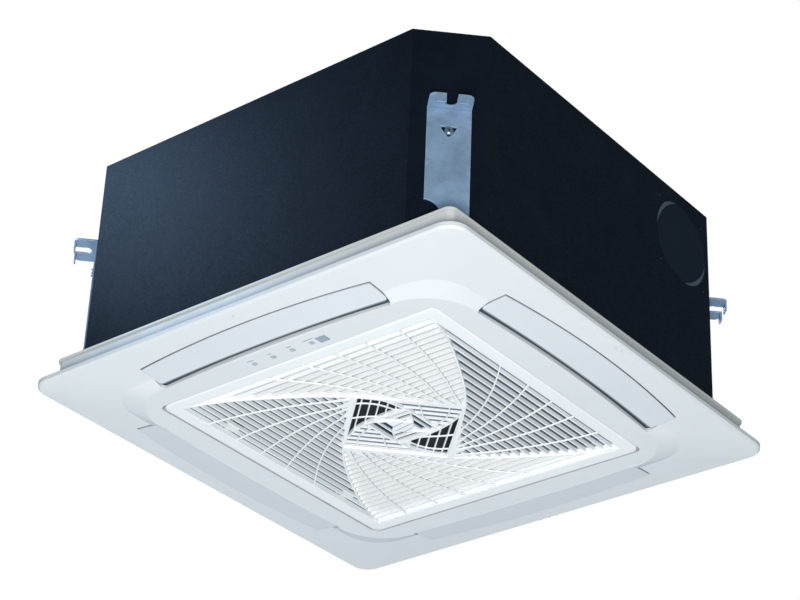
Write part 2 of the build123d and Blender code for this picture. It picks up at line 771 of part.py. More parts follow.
def louvre():
    """Slats of the outer whirl, with the two inner whirls set deeper."""
    outer = four_ways(slits(LOUVRE_HALF, ARM, SLAT_PITCH, SLAT_T, ARM_T, SLAT_FIRST))
    hub = turned(square_points(HUB_HALF), CENTRE_TURN)
    big = holed_plate(square_points(LOUVRE_HALF), outer + [hub], LOUVRE_Z + RIB_H, LOUVRE_TOP)
    centre = slits(CENTRE_HALF, CENTRE_ARM, SLAT_PITCH, FINE_SLAT_T, FINE_ARM_T, CENTRE_FIRST)
    eye = slits(EYE_HALF, ARM, EYE_PITCH, FINE_SLAT_T, EYE_ARM_T, EYE_FIRST)
    inner = four_ways(centre, CENTRE_TURN) + four_ways(eye)
    rim = turned(square_points(CENTRE_HALF), CENTRE_TURN)
    small = holed_plate(rim, inner, LOUVRE_Z + CENTRE_SET + RIB_H, LOUVRE_TOP)
    notch_end = -NET_HALF + TAB_REACH + LATCH_TRAVEL + NECK_GAP
    half = LATCH_W / 2
    for y in (-LATCH_Y, LATCH_Y):
        big -= box(-LOUVRE_HALF - 1, notch_end, y - half, y + half, LATCH_Z, LOUVRE_TOP + 1)
    return big + small


def louvre_ribs():
    """Curved ribs and arms that lie in front of the slats."""
    outer = four_ways(band_holes(LOUVRE_HALF, ARM, RIBS, ARM_T, RIB_T, RIB_EDGE, 7))
    hub = turned(square_points(HUB_HALF), CENTRE_TURN)
    big = holed_plate(square_points(LOUVRE_HALF), outer + [hub], LOUVRE_Z, LOUVRE_Z + RIB_H)
    edge = CENTRE_RIM + EYE_EDGE
    centre = band_holes(CENTRE_HALF, CENTRE_ARM, CENTRE_RIBS, FINE_ARM_T, FINE_RIB_T, edge, 5)
    eye = band_holes(EYE_HALF, ARM, [], EYE_ARM_T, FINE_RIB_T, EYE_EDGE, 3)
    inner = four_ways(centre, CENTRE_TURN) + four_ways(eye)
    rim = turned(square_points(HUB_HALF), CENTRE_TURN)
    small = holed_plate(rim, inner, LOUVRE_Z + CENTRE_SET, LOUVRE_Z + CENTRE_SET + RIB_H)
    return [big, small]


# ------------------------------------------------------------------ grille frame, hinge, latches, filter


def grille_frame():
    plate = prism(square(GRILLE_HALF, GRILLE_R), 0, PANEL_WALL)
    plate = fillet(plate.faces().sort_by(Axis.Z)[0].edges(), FRAME_SOFT)
    skirt = prism(square(SKIRT_OUT, SKIRT_R), PANEL_WALL, SKIRT_TOP)
    skirt -= prism(square(SKIRT_IN, SKIRT_R - SKIRT_T), LEDGE_Z, SKIRT_TOP + 1)
    frame = plate + skirt
    k = LOUVRE_HALF
    frame -= box(-k, k, -k, k, -1, SKIRT_TOP + 1)
    inner = HOOK_W / 2 + HOOK_GAP
    outer = inner + HINGE_EAR_T
    for s in SIGNS:
        y = s * HINGE_Y
        for a, b in ((y - outer, y - inner), (y + inner, y + outer)):
            frame += box(SKIRT_OUT - 1, HINGE_X + HINGE_R, a, b, PANEL_WALL - 1, HINGE_Z + HINGE_R)
        frame += cyl_y(HINGE_X, HINGE_Z, y - outer, y + outer, HINGE_R)
        y = s * LATCH_Y
        half = NECK_W / 2 + NECK_GAP
        frame -= box(-SKIRT_OUT - 1, 1 - k, y - half, y + half, PANEL_WALL, LEDGE_Z)
    return frame


def hinge_hooks():
    hooks = []
    for s in SIGNS:
        y0 = s * HINGE_Y - HOOK_W / 2
        y1 = y0 + HOOK_W
        top = HOOK_WEB_Z + HOOK_WEB_H
        hook = box(HINGE_X - HOOK_R, HINGE_X + HOOK_R, y0, y1, HINGE_Z, top)
        hook += cyl_y(HINGE_X, HINGE_Z, y0, y1, HOOK_R)
        hook += box(HINGE_X, OPEN_HALF, y0, y1, HOOK_WEB_Z, top)
        hooks.append(hook - cyl_y(HINGE_X, HINGE_Z, y0 - 1, y1 + 1, HINGE_R + RUNNING))
    return hooks


def latch(sign):
    """Sliding latch: bolt outside the skirt, neck through it, finger tab inside."""
    y = sign * LATCH_Y
    end = -GRILLE_HALF + LATCH_SEAM
    bolt_in = -SKIRT_OUT - LATCH_TRAVEL - BOLT_ROOM
    tab_in = -NET_HALF + TAB_REACH
    tab_half = LATCH_W / 2 - TAB_NARROW
    z1 = LATCH_Z + LATCH_GAP
    z2 = LEDGE_Z - 3 * LATCH_GAP
    piece = box(end, bolt_in, y - LATCH_W / 2, y + LATCH_W / 2, PANEL_WALL + LATCH_GAP, z1)
    piece += box(end, tab_in, y - NECK_W / 2, y + NECK_W / 2, z1, z2)
    return piece + box(tab_in - TAB_L, tab_in, y - tab_half, y + tab_half, z1, z2)


def filter_frame():
    z0, z1 = LEDGE_Z, LEDGE_Z + FILTER_T
    a, b = FILTER_HALF, NET_HALF
    frame = box(-a, a, -a, a, z0, z1) - box(-b, b, -b, b, z0 - 1, z1 + 1)
    for p in (-b / 3, b / 3):
        low, high = p - FILTER_BAR / 2, p + FILTER_BAR / 2
        frame += box(-b - 1, b + 1, low, high, z1 - NET_T, z1)
        frame += box(low, high, -b - 1, b + 1, z1 - NET_T, z1)
    return frame


def filter_net():
    b = NET_HALF
    z1 = LEDGE_Z + FILTER_T - NET_T
    return box(-b, b, -b, b, z1 - NET_T, z1)


# ------------------------------------------------------------------ casing


def knockout_slits():
    """Four slits round the pressed disc, two of them wider in the middle."""
    plane = Plane(origin=(BODY_HALF + 1, KNOCK_Y, KNOCK_Z), x_dir=(0, 1, 0), z_dir=(1, 0, 0))

    def at(r, degrees):
        return (r * cos(radians(degrees)), r * sin(radians(degrees)))
    cuts = []
    for start, end, bulge in ((5, 84, 0), (101, 179, KNOCK_BULGE), (188, 265, 0), (275, 355, KNOCK_BULGE)):
        mid = (start + end) / 2
        inner = KNOCK_R - KNOCK_SLIT
        face = make_face([ThreePointArc(at(KNOCK_R, start), at(KNOCK_R, mid), at(KNOCK_R, end)),
                          Line(at(KNOCK_R, end), at(inner, end)),
                          ThreePointArc(at(inner, end), at(inner - bulge, mid), at(inner, start)),
                          Line(at(inner, start), at(KNOCK_R, start))])
        cuts.append(extrude(plane * face, -SHEET_T - 2))
    return cuts


def pipe_window(x0, x1):
    return box(x0, x1, GAS_Y - WINDOW_EDGE, LIQUID_Y + WINDOW_EDGE / 2,
               LIQUID_Z - WINDOW_EDGE, GAS_Z + WINDOW_EDGE)


def casing_shell():
    """Eight sheet walls and the four gussets that carry the drain pan and the panel."""
    walls = wall_panels(0, SHEET_T, BODY_Z0, CEILING)
    for cut in knockout_slits():
        walls[RIGHT] -= cut
    for y, z in DUCT_HOLES:
        walls[RIGHT] -= cyl_x(y, z, BODY_HALF - 3, BODY_HALF + 1, DUCT_HOLE_R)
    walls[LEFT] -= pipe_window(-BODY_HALF - 1, -BODY_HALF + 3)
    walls[LEFT] -= cyl_x(DRAIN_Y, DRAIN_Z, -BODY_HALF - 1, -BODY_HALF + 3, DRAIN_PIPE_R + TUBE_ROOM)
    walls[BACK] -= cyl_y(CABLE_X, CABLE_Z, BODY_HALF - 3, BODY_HALF + 1, CABLE_R + GROMMET_T)
    inner = body_points(SHEET_T)
    a, b = BODY_HALF - SHEET_T, LUG_AT - GUSSET_SET
    for k, (sx, sy) in zip((0, 2, 4, 6), ((1, -1), (1, 1), (-1, 1), (-1, -1))):
        rest = [(sx * a, sy * b), (sx * b, sy * b), (sx * b, sy * a)]
        if sx * sy > 0:
            rest.reverse()
        gusset = prism(poly([inner[k], inner[k + 1]] + rest), BODY_Z0, FLOOR)
        walls.append(gusset - cyl(sx * LUG_AT, sy * LUG_AT, BODY_Z0 - 1, FLOOR + 1, SCREW_R))
    return walls


def casing_top():
    return prism(poly(body_points(0)), CEILING, BODY_Z1)


def casing_liner():
    """Foam lining: eight walls and a ceiling slab that leaves room for the motor mounts."""
    z1 = CEILING - LINER_TOP_T
    walls = wall_panels(SHEET_T, SHEET_T + LINER_T, PAN_TOP, z1)
    for y, z in DUCT_HOLES:
        walls[RIGHT] -= cyl_x(y, z, BODY_HALF - SHEET_T - DUCT_HOLE_DEEP, BODY_HALF, DUCT_HOLE_R + HOLE_ROOM)
    walls[LEFT] -= pipe_window(-BODY_HALF, -LINED_HALF + 1)
    for k in (LEFT, FAR):
        walls[k] -= cyl_x(DRAIN_Y, DRAIN_Z, -BODY_HALF, LINER_T - LINED_HALF, DRAIN_PIPE_R + TUBE_ROOM)
    walls[BACK] -= cyl_y(CABLE_X, CABLE_Z, LINED_HALF - 1, BODY_HALF, CABLE_R + GROMMET_T)
    room = MOUNT_R + 2 * MOUNT_BUSH_R
    slab = prism(poly(body_points(SHEET_T)), z1, CEILING)
    return walls + [slab - box(-room, room, -room, room, z1 - 1, CEILING + 1)]


def drain_pan():
    pan = prism(poly(body_points(SHEET_T)), FLOOR, PAN_TOP)
    pan -= cyl(0, 0, FLOOR - 1, PAN_TOP + 1, EYE_R + MOUTH_FLARE)
    for name in SIDES:
        opening = box(DUCT_IN, LINED_HALF + PAN_LIP, -SLOT_HALF, SLOT_HALF, FLOOR - 1, PAN_TOP + 1)
        pan -= on_side(name, opening)
    outside = square(COIL_HALF + TROUGH_OUT, COIL_R + TROUGH_OUT)
    inside = square(COIL_HALF - COIL_T - TROUGH_IN, COIL_R - COIL_T)
    pan -= ring(outside, inside, PAN_TOP - TROUGH, PAN_TOP + 1)
    half = BOX_HALF + BOX_ROOM
    pan -= box(-half, half, BOX_IN - BOX_ROOM, BOX_OUT + BOX_ROOM, FLOOR - 1, BOX_TOP + BOX_ROOM / 2)
    for x, y in SCREW_PLACES:
        pan -= cyl(x, y, FLOOR - 1, SCREW_TOP + SCREW_ROOM, SCREW_R)
    return pan


def bell_mouth():
    r, t = MOUTH_R, MOUTH_T
    rim = EYE_R + MOUTH_FLARE
    top = FAN_LOW + MOUTH_OVERLAP
    return lathe([(rim, FLOOR), (rim, FLOOR + t), (r + t, FLOOR + MOUTH_BEND + t), (r + t, top),
                  (r, top), (r, FLOOR + MOUTH_BEND), (r + MOUTH_BEND, FLOOR)])


# ------------------------------------------------------------------ fan and motor


def fan_blade():
    """Backward-curved blade, thickest a third of the way along its chord."""
    front, back = [], []
    for k in range(BLADE_STEPS + 1):
        t = k / BLADE_STEPS
        r = FAN_R - BLADE_SET - BLADE_L * (1 - t)
        a = radians(-BLADE_SWEEP * t)
        half = BLADE_EDGE + BLADE_T / 2 * sin(pi * min(1.0, t + 0.15))
        lean = a - radians(BLADE_SWEEP)
        x, y = r * cos(a), r * sin(a)
        front.append((x - sin(lean) * half, y + cos(lean) * half))
        back.append((x + sin(lean) * half, y - cos(lean) * half))
    blade = prism(poly(front + back[::-1]), FAN_LOW + MOUTH_OVERLAP + BLADE_CLEAR, FAN_TOP - FAN_T / 2)
    shroud_z = FAN_LOW + SHROUD_RISE + FAN_T / 2
    under = lathe([(0, FAN_LOW), (EYE_R, FAN_LOW + 1.5 * FAN_T), (FAN_R, shroud_z),
                   (2 * FAN_R, shroud_z), (2 * FAN_R, FAN_LOW)])
    return blade - under


def fan_wheel():
    """Back plate with a deep cup round the motor, inlet shroud and blades."""
    cup = MOTOR_R + CUP_GAP + FAN_T
    boss = HUB_Z + BOSS_H
    wheel = lathe([(SHAFT_R, HUB_Z), (cup, HUB_Z), (cup, FAN_TOP - FAN_T), (FAN_R, FAN_TOP - FAN_T),
                   (FAN_R, FAN_TOP), (cup - FAN_T, FAN_TOP), (cup - FAN_T, boss), (SHAFT_R, boss)])
    shroud_z = FAN_LOW + SHROUD_RISE
    wheel += lathe([(EYE_R, FAN_LOW), (EYE_R + FAN_T, FAN_LOW), (FAN_R, shroud_z),
                    (FAN_R, shroud_z + FAN_T), (EYE_R, FAN_LOW + 2 * FAN_T)])
    blade = fan_blade()
    for k in range(BLADES):
        wheel += Rot(0, 0, 360 / BLADES * k) * blade
    return wheel


def fan_shaft():
    return cyl(0, 0, SHAFT_Z0, SHAFT_Z0 + SHAFT_L, SHAFT_R)


def fan_nut():
    low = HUB_Z - WASHER_T - NUT_H
    nut = Pos(0, 0, low) * extrude(RegularPolygon(NUT_R, 6), NUT_H)
    nut += cyl(0, 0, HUB_Z - WASHER_T, HUB_Z, WASHER_R)
    return nut - cyl(0, 0, low - 1, HUB_Z + 1, SHAFT_R)


def fan_motor():
    low = HUB_Z + MOTOR_SET
    can = cyl(0, 0, low, low + MOTOR_NECK_L, MOTOR_NECK_R)
    can += cyl(0, 0, low + MOTOR_NECK_L, MOUNTS_Z, MOTOR_R)
    can += cyl(0, 0, MOUNTS_Z - MOUNT_PLATE, MOUNTS_Z, MOUNT_R + MOUNT_BUSH_R + MOUNT_EDGE)
    return can - cyl(0, 0, low - 1, SHAFT_Z0 + SHAFT_L + 2, SHAFT_R + RUNNING)


def motor_mounts():
    bushes = []
    for k in range(4):
        x, y = turned([(MOUNT_R, 0)], 45 + 90 * k)[0]
        bushes.append(cyl(x, y, MOUNTS_Z, CEILING, MOUNT_BUSH_R))
    return bushes


# ------------------------------------------------------------------ heat exchanger and pipes


def coil():
    h = COIL_HALF
    fins = ring(square(h, COIL_R), square(h - COIL_T, COIL_R - COIL_T), COIL_Z0, COIL_Z1)
    return fins - box(-h - 1, -h + COIL_GAP, h - COIL_GAP, h + 1, COIL_Z0 - 1, COIL_Z1 + 1)


def coil_end_plates():
    h = COIL_HALF
    inner = h - COIL_T - END_LAP
    outer = h + END_LAP
    left = box(-outer, -inner, h - COIL_GAP, h - COIL_GAP + END_T, COIL_Z0, COIL_Z1)
    back = box(COIL_GAP - h - END_T, COIL_GAP - h, inner, outer, COIL_Z0, COIL_Z1)
    return left, back


def gas_pipe():
    """Header beside the coil's end plate, and the pipe to its union."""
    pipe = cyl(HEADER_X, GAS_Y, COIL_Z0 + 20, GAS_Z + TOP_LIFT, GAS_HEADER_R)
    pipe += cyl_x(GAS_Y, GAS_Z, HEADER_X, -BODY_HALF - 6, GAS_R)
    for z in (COIL_Z0 + 40, GAS_Z - 30):
        pipe += cyl_y(HEADER_X, z, COIL_HALF - COIL_GAP + END_T, GAS_Y, GAS_HEADER_R / 2)
    return pipe


def liquid_pipe():
    x = HEADER_X + 32
    pipe = cyl(x, LIQUID_Y, COIL_Z0 + 30, LIQUID_Z + TOP_LIFT, LIQUID_HEADER_R)
    pipe += cyl_x(LIQUID_Y, LIQUID_Z, x, -BODY_HALF - 6, LIQUID_R)
    for z in (COIL_Z0 + 45, LIQUID_Z - 20):
        pipe += cyl_x(LIQUID_Y + 14, z, x, COIL_GAP - COIL_HALF - END_T, LIQUID_R)
        pipe += cyl_y(x, z, LIQUID_Y, LIQUID_Y + 14 + LIQUID_R, LIQUID_R)
    return pipe


def union(y, z, pipe_r, thread_r, hex_r):
    """Flare union: a hexagon against the cover and a plain thread core."""
    x = -BODY_HALF - SHEET_T
    body = Pos(x, y, z) * Rot(0, -90, 0) * extrude(RegularPolygon(hex_r, 6), UNION_HEX)
    body += cyl_x(y, z, x - UNION_HEX, x - UNION_HEX - UNION_L, thread_r)
    body -= cyl_x(y, z, x + 1, -BODY_HALF - 6, pipe_r)
    return body - cyl_x(y, z, x, x - UNION_HEX - UNION_L - 1, pipe_r - PIPE_WALL)


def piping_cover():
    edge = WINDOW_EDGE + 3
    cover = box(-BODY_HALF - SHEET_T, -BODY_HALF, GAS_Y - edge, LIQUID_Y + WINDOW_EDGE / 2 + 3,
                LIQUID_Z - edge, GAS_Z + edge)
    cover -= cyl_x(GAS_Y, GAS_Z, -BODY_HALF - 3, -BODY_HALF + 1, GAS_R + TUBE_ROOM)
    return cover - cyl_x(LIQUID_Y, LIQUID_Z, -BODY_HALF - 3, -BODY_HALF + 1, LIQUID_R + TUBE_ROOM)


# ------------------------------------------------------------------ drain


def drain_pump():
    low = PAN_TOP + PUMP_FOOT
    pump = cyl(PUMP_X, DRAIN_Y, PAN_TOP, low, PUMP_R * 0.4)
    pump += cyl(PUMP_X, DRAIN_Y, low, PAN_TOP + PUMP_H, PUMP_R)
    side = PUMP_X + PUMP_R
    top = PAN_TOP + PUMP_H - PORT_DROP
    y0, y1 = DRAIN_Y - PORT_HALF, DRAIN_Y + PORT_HALF
    return pump + box(side - PORT_SINK, side + PORT_L, y0, y1, top - PORT_H, top)


def drain_outlet():
    """Riser from the pump, a run to the wall, a sealing collar and the spigot outside."""
    r = DRAIN_PIPE_R
    face = -BODY_HALF - DRAIN_COLLAR
    end = face - SPIGOT_L
    pipe = cyl(PUMP_X, DRAIN_Y, PAN_TOP + PUMP_H, DRAIN_Z + r, r)
    pipe += cyl_x(DRAIN_Y, DRAIN_Z, PUMP_X, -BODY_HALF, r)
    pipe += cyl_x(DRAIN_Y, DRAIN_Z, -BODY_HALF, face, DRAIN_R + DRAIN_COLLAR)
    pipe += cyl_x(DRAIN_Y, DRAIN_Z, face, end, DRAIN_R)
    return pipe - cyl_x(DRAIN_Y, DRAIN_Z, PUMP_X - r, end - 1, r - DRAIN_WALL)


def float_switch():
    x, y = FLOAT_X, FLOAT_Y
    z1 = PAN_TOP + FLOAT_H
    z2 = z1 + STEM_H
    switch = cyl(x, y, PAN_TOP, z1, FLOAT_R) + cyl(x, y, z1, z2, STEM_R)
    return switch + box(x - CAP_HALF, x + CAP_HALF, y - CAP_HALF, y + CAP_HALF, z2, z2 + CAP_H)


# ------------------------------------------------------------------ electrics


def control_box():
    b = BOX_HALF
    shell = box(-b, b, BOX_IN, BOX_OUT, BOX_LOW + SHEET_T, BOX_TOP)
    t = SHEET_T
    return shell - box(t - b, b - t, BOX_IN + t, BOX_OUT - t, BOX_LOW, BOX_TOP - t)


def control_cover():
    b = BOX_HALF + 1
    return box(-b, b, BOX_IN - 1, BOX_OUT + 1, BOX_LOW, BOX_LOW + SHEET_T)


def control_board():
    """Board on three posts, with a transformer and a relay on its underside."""
    roof = BOX_TOP - SHEET_T
    z1 = roof - 6.4
    z0 = z1 - BOARD_T
    board = box(8 - BOX_HALF, BOX_HALF - 60, BOX_IN + 6, BOX_OUT - 6, z0, z1)
    for x in (-0.75, -0.33, 0.33):
        board += box(x * BOX_HALF - 2, x * BOX_HALF + 2, BOX_IN + 8, BOX_IN + 12, z1, roof)
    board += box(-80, -55, BOX_IN + 14, BOX_OUT - 12, z0 - 18, z0)
    return board + box(-30, 10, BOX_IN + 16, BOX_OUT - 14, z0 - 11, z0)


def terminal_block():
    x0 = BOX_HALF - 50
    roof = BOX_TOP - SHEET_T
    block = box(x0, BOX_HALF - 10, BOX_IN + 12, BOX_OUT - 12, roof - 16, roof)
    for k in range(1, 5):
        x = x0 + 8 * k
        block -= box(x - 0.8, x + 0.8, BOX_IN + 10, BOX_OUT - 10, roof - 17, roof - 11)
    return block


def cable_grommet():
    grommet = cyl_y(CABLE_X, CABLE_Z, BODY_HALF - SHEET_T - 2, BODY_HALF, CABLE_R + GROMMET_T)
    grommet += cyl_y(CABLE_X, CABLE_Z, BODY_HALF, BODY_HALF + 2, CABLE_R + 6)
    return grommet - cyl_y(CABLE_X, CABLE_Z, BODY_HALF - 10, BODY_HALF + 5, CABLE_R)


def air_sensor():
    x, y = SENSOR_X, SENSOR_Y
    sensor = box(x - 5, x + 5, y - 4, y + 4, FLOOR - 8, FLOOR)
    return sensor + cyl_y(x, FLOOR - 5, y - 12, y + 12, 2.5)


# ------------------------------------------------------------------ hanger brackets


def hanger_bracket():
    """Folded plate: flange with an open rod slot and two lips, notch low down."""
    w = BRACKET_W / 2
    t = BRACKET_T
    top = BRACKET_Z + t
    inner = w - BRACKET_R
    flange = box(-w, w, 0, BRACKET_OUT, BRACKET_Z, top)
    outer = flange.edges().filter_by(Axis.Z).sort_by(Axis.Y)[-2:]
    bracket = fillet(outer, BRACKET_R) + box(-w, w, 0, t, BRACKET_LOW, top)
    bracket -= cyl_y(w, NOTCH_Z, -1, t + 1, NOTCH_R)
    bracket += box(-inner, inner, BRACKET_OUT - t, BRACKET_OUT, BRACKET_Z - LIP_DROP, top)
    bracket -= cyl(0, ROD_OUT, BRACKET_Z - 1, top + 1, ROD_R)
    neck = ROD_NECK / 2
    bracket -= box(-neck, neck, ROD_OUT, BRACKET_OUT + 1, BRACKET_Z - LIP_DROP - 1, top + 1)
    dimple = poly([(0, DIMPLE_Z - DIMPLE_H / 2), (DIMPLE_W / 2, DIMPLE_Z + DIMPLE_H / 2),
                   (-DIMPLE_W / 2, DIMPLE_Z + DIMPLE_H / 2)])
    bracket -= Pos(0, t - DIMPLE_D, 0) * extrude(Plane.XZ * dimple, -DIMPLE_D - 1)
    return bracket - cyl_y(0, DIMPLE_Z + 1, -1, t + 1, BRACKET_SCREW_R)


def bracket_screw():
    head = extrude(RegularPolygon(4.6, 6), DIMPLE_D + 3)
    screw = Pos(0, BRACKET_T - DIMPLE_D, DIMPLE_Z + 1) * Rot(-90, 0, 0) * head
    return screw + cyl_y(0, DIMPLE_Z + 1, 0, BRACKET_T - DIMPLE_D, BRACKET_SCREW_R)


# ------------------------------------------------------------------ every piece


def build():
    save("panel_frame", panel_frame())
    save("panel_collar", panel_collar() + panel_lugs())
    save("panel_back_frame", back_frame())
    one_duct, one_flap, one_motor = duct(), flap(), flap_motor()
    for name in SIDES:
        save("outlet_duct_" + name, on_side(name, one_duct))
        save("flap_" + name, on_side(name, one_flap))
        save("flap_motor_" + name, on_side(name, one_motor))
    save("display_board", display_board())
    save("lamp_lenses", [lamp_lens(x, 0, PANEL_WALL) for x in LAMP_X])
    save("receiver_window", receiver(0, PANEL_WALL))
    save("panel_screws", panel_screws())
    save("grille_frame", grille_frame())
    save("grille_louvre", louvre())
    save("grille_ribs", louvre_ribs())
    save("grille_hinge_hooks", hinge_hooks())
    save("grille_latch_near", latch(-1))
    save("grille_latch_far", latch(1))
    save("filter_frame", filter_frame())
    save("filter_net", filter_net())
    save("casing_shell", casing_shell())
    save("casing_top", casing_top())
    save("casing_liner", casing_liner())
    save("drain_pan", drain_pan())
    save("bell_mouth", bell_mouth())
    save("fan_wheel", fan_wheel())
    save("fan_shaft", fan_shaft())
    save("fan_nut", fan_nut())
    save("fan_motor", fan_motor())
    save("motor_mounts", motor_mounts())
    save("coil_fins", coil())
    left_plate, back_plate = coil_end_plates()
    save("coil_end_plate_left", left_plate)
    save("coil_end_plate_back", back_plate)
    save("gas_pipe", gas_pipe())
    save("liquid_pipe", liquid_pipe())
    save("gas_union", union(GAS_Y, GAS_Z, GAS_R, GAS_THREAD_R, 13))
    save("liquid_union", union(LIQUID_Y, LIQUID_Z, LIQUID_R, LIQUID_THREAD_R, 8.5))
    save("piping_cover", piping_cover())
    save("drain_pump", drain_pump())
    save("drain_outlet", drain_outlet())
    save("float_switch", float_switch())
    save("control_box", control_box())
    save("control_cover", control_cover())
    save("control_board", control_board())
    save("terminal_block", terminal_block())
    save("cable_grommet", cable_grommet())
    save("air_sensor", air_sensor())
    one_bracket, one_screw = hanger_bracket(), bracket_screw()
    for name in CORNERS:
        save("hanger_bracket_" + name, at_corner(name, one_bracket))
    save("bracket_screws", [at_corner(name, one_screw) for name in CORNERS])


build()
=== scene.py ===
"""Looks of the ceiling cassette air conditioner.

Metres, in the part's own frame: +Z up, the origin at the centre of the grille's lowest face, -Y the side with
the indicator lamps, +X the side with the knockout.
"""
import json
import math

import bmesh
import bpy
from mathutils import Matrix, Vector


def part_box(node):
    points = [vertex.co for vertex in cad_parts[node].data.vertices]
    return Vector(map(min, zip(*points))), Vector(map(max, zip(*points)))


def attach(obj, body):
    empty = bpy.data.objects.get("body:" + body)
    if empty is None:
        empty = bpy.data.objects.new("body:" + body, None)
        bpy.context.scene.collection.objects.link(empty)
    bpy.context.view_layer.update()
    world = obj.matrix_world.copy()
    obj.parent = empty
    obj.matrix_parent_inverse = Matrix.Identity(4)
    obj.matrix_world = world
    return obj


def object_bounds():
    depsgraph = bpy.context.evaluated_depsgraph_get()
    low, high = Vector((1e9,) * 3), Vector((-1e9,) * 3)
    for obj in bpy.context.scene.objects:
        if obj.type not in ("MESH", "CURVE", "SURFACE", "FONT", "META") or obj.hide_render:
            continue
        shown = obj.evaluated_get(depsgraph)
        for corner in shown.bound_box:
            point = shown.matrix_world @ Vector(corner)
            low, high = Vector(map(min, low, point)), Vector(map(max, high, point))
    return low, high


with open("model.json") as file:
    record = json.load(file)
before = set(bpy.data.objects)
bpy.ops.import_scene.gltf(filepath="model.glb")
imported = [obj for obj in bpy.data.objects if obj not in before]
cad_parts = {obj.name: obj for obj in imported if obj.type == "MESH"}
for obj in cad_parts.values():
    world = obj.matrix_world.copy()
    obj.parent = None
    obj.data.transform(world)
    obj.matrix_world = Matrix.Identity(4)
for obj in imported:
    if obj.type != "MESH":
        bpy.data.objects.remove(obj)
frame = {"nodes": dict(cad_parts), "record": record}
cad_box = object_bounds()
casing_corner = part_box("casing_top")[1]         # at +X, +Y and the top
MM = 0.001

# ------------------------------------------------------------------ camera

# Fitted to the photograph: the camera's place, and the directions of its picture's axes.
CAMERA_AT = (1.5707, -1.9226, -1.3096)
CAMERA_RIGHT = (0.78522, 0.61812, 0.03685)
CAMERA_UP = (0.29313, -0.42349, 0.85717)
CAMERA_FORWARD = (-0.54543, 0.66226, 0.51372)
LENS = 107.3
SENSOR = 36.0
CLIP_END = 60.0


def add_camera():
    data = bpy.data.cameras.new("camera")
    data.lens = LENS
    data.sensor_width = SENSOR
    data.clip_end = CLIP_END
    camera = bpy.data.objects.new("camera", data)
    axes = Matrix((CAMERA_RIGHT, CAMERA_UP, -Vector(CAMERA_FORWARD))).transposed()
    camera.matrix_world = Matrix.Translation(CAMERA_AT) @ axes.to_4x4()
    bpy.context.scene.collection.objects.link(camera)
    bpy.context.scene.camera = camera


# ------------------------------------------------------------------ node helpers

BEVEL_SAMPLES = 6
CREVICE_SAMPLES = 8
NOISE_SPAN = (0.3, 0.7)         # most of a noise's values lie between these
EDGE_LEAN = (0.985, 0.86)       # cosine of the lean where an edge starts to show, and where it shows fully


def shade(colour, share):
    """The colour, darker or lighter."""
    return tuple(channel * share for channel in colour)


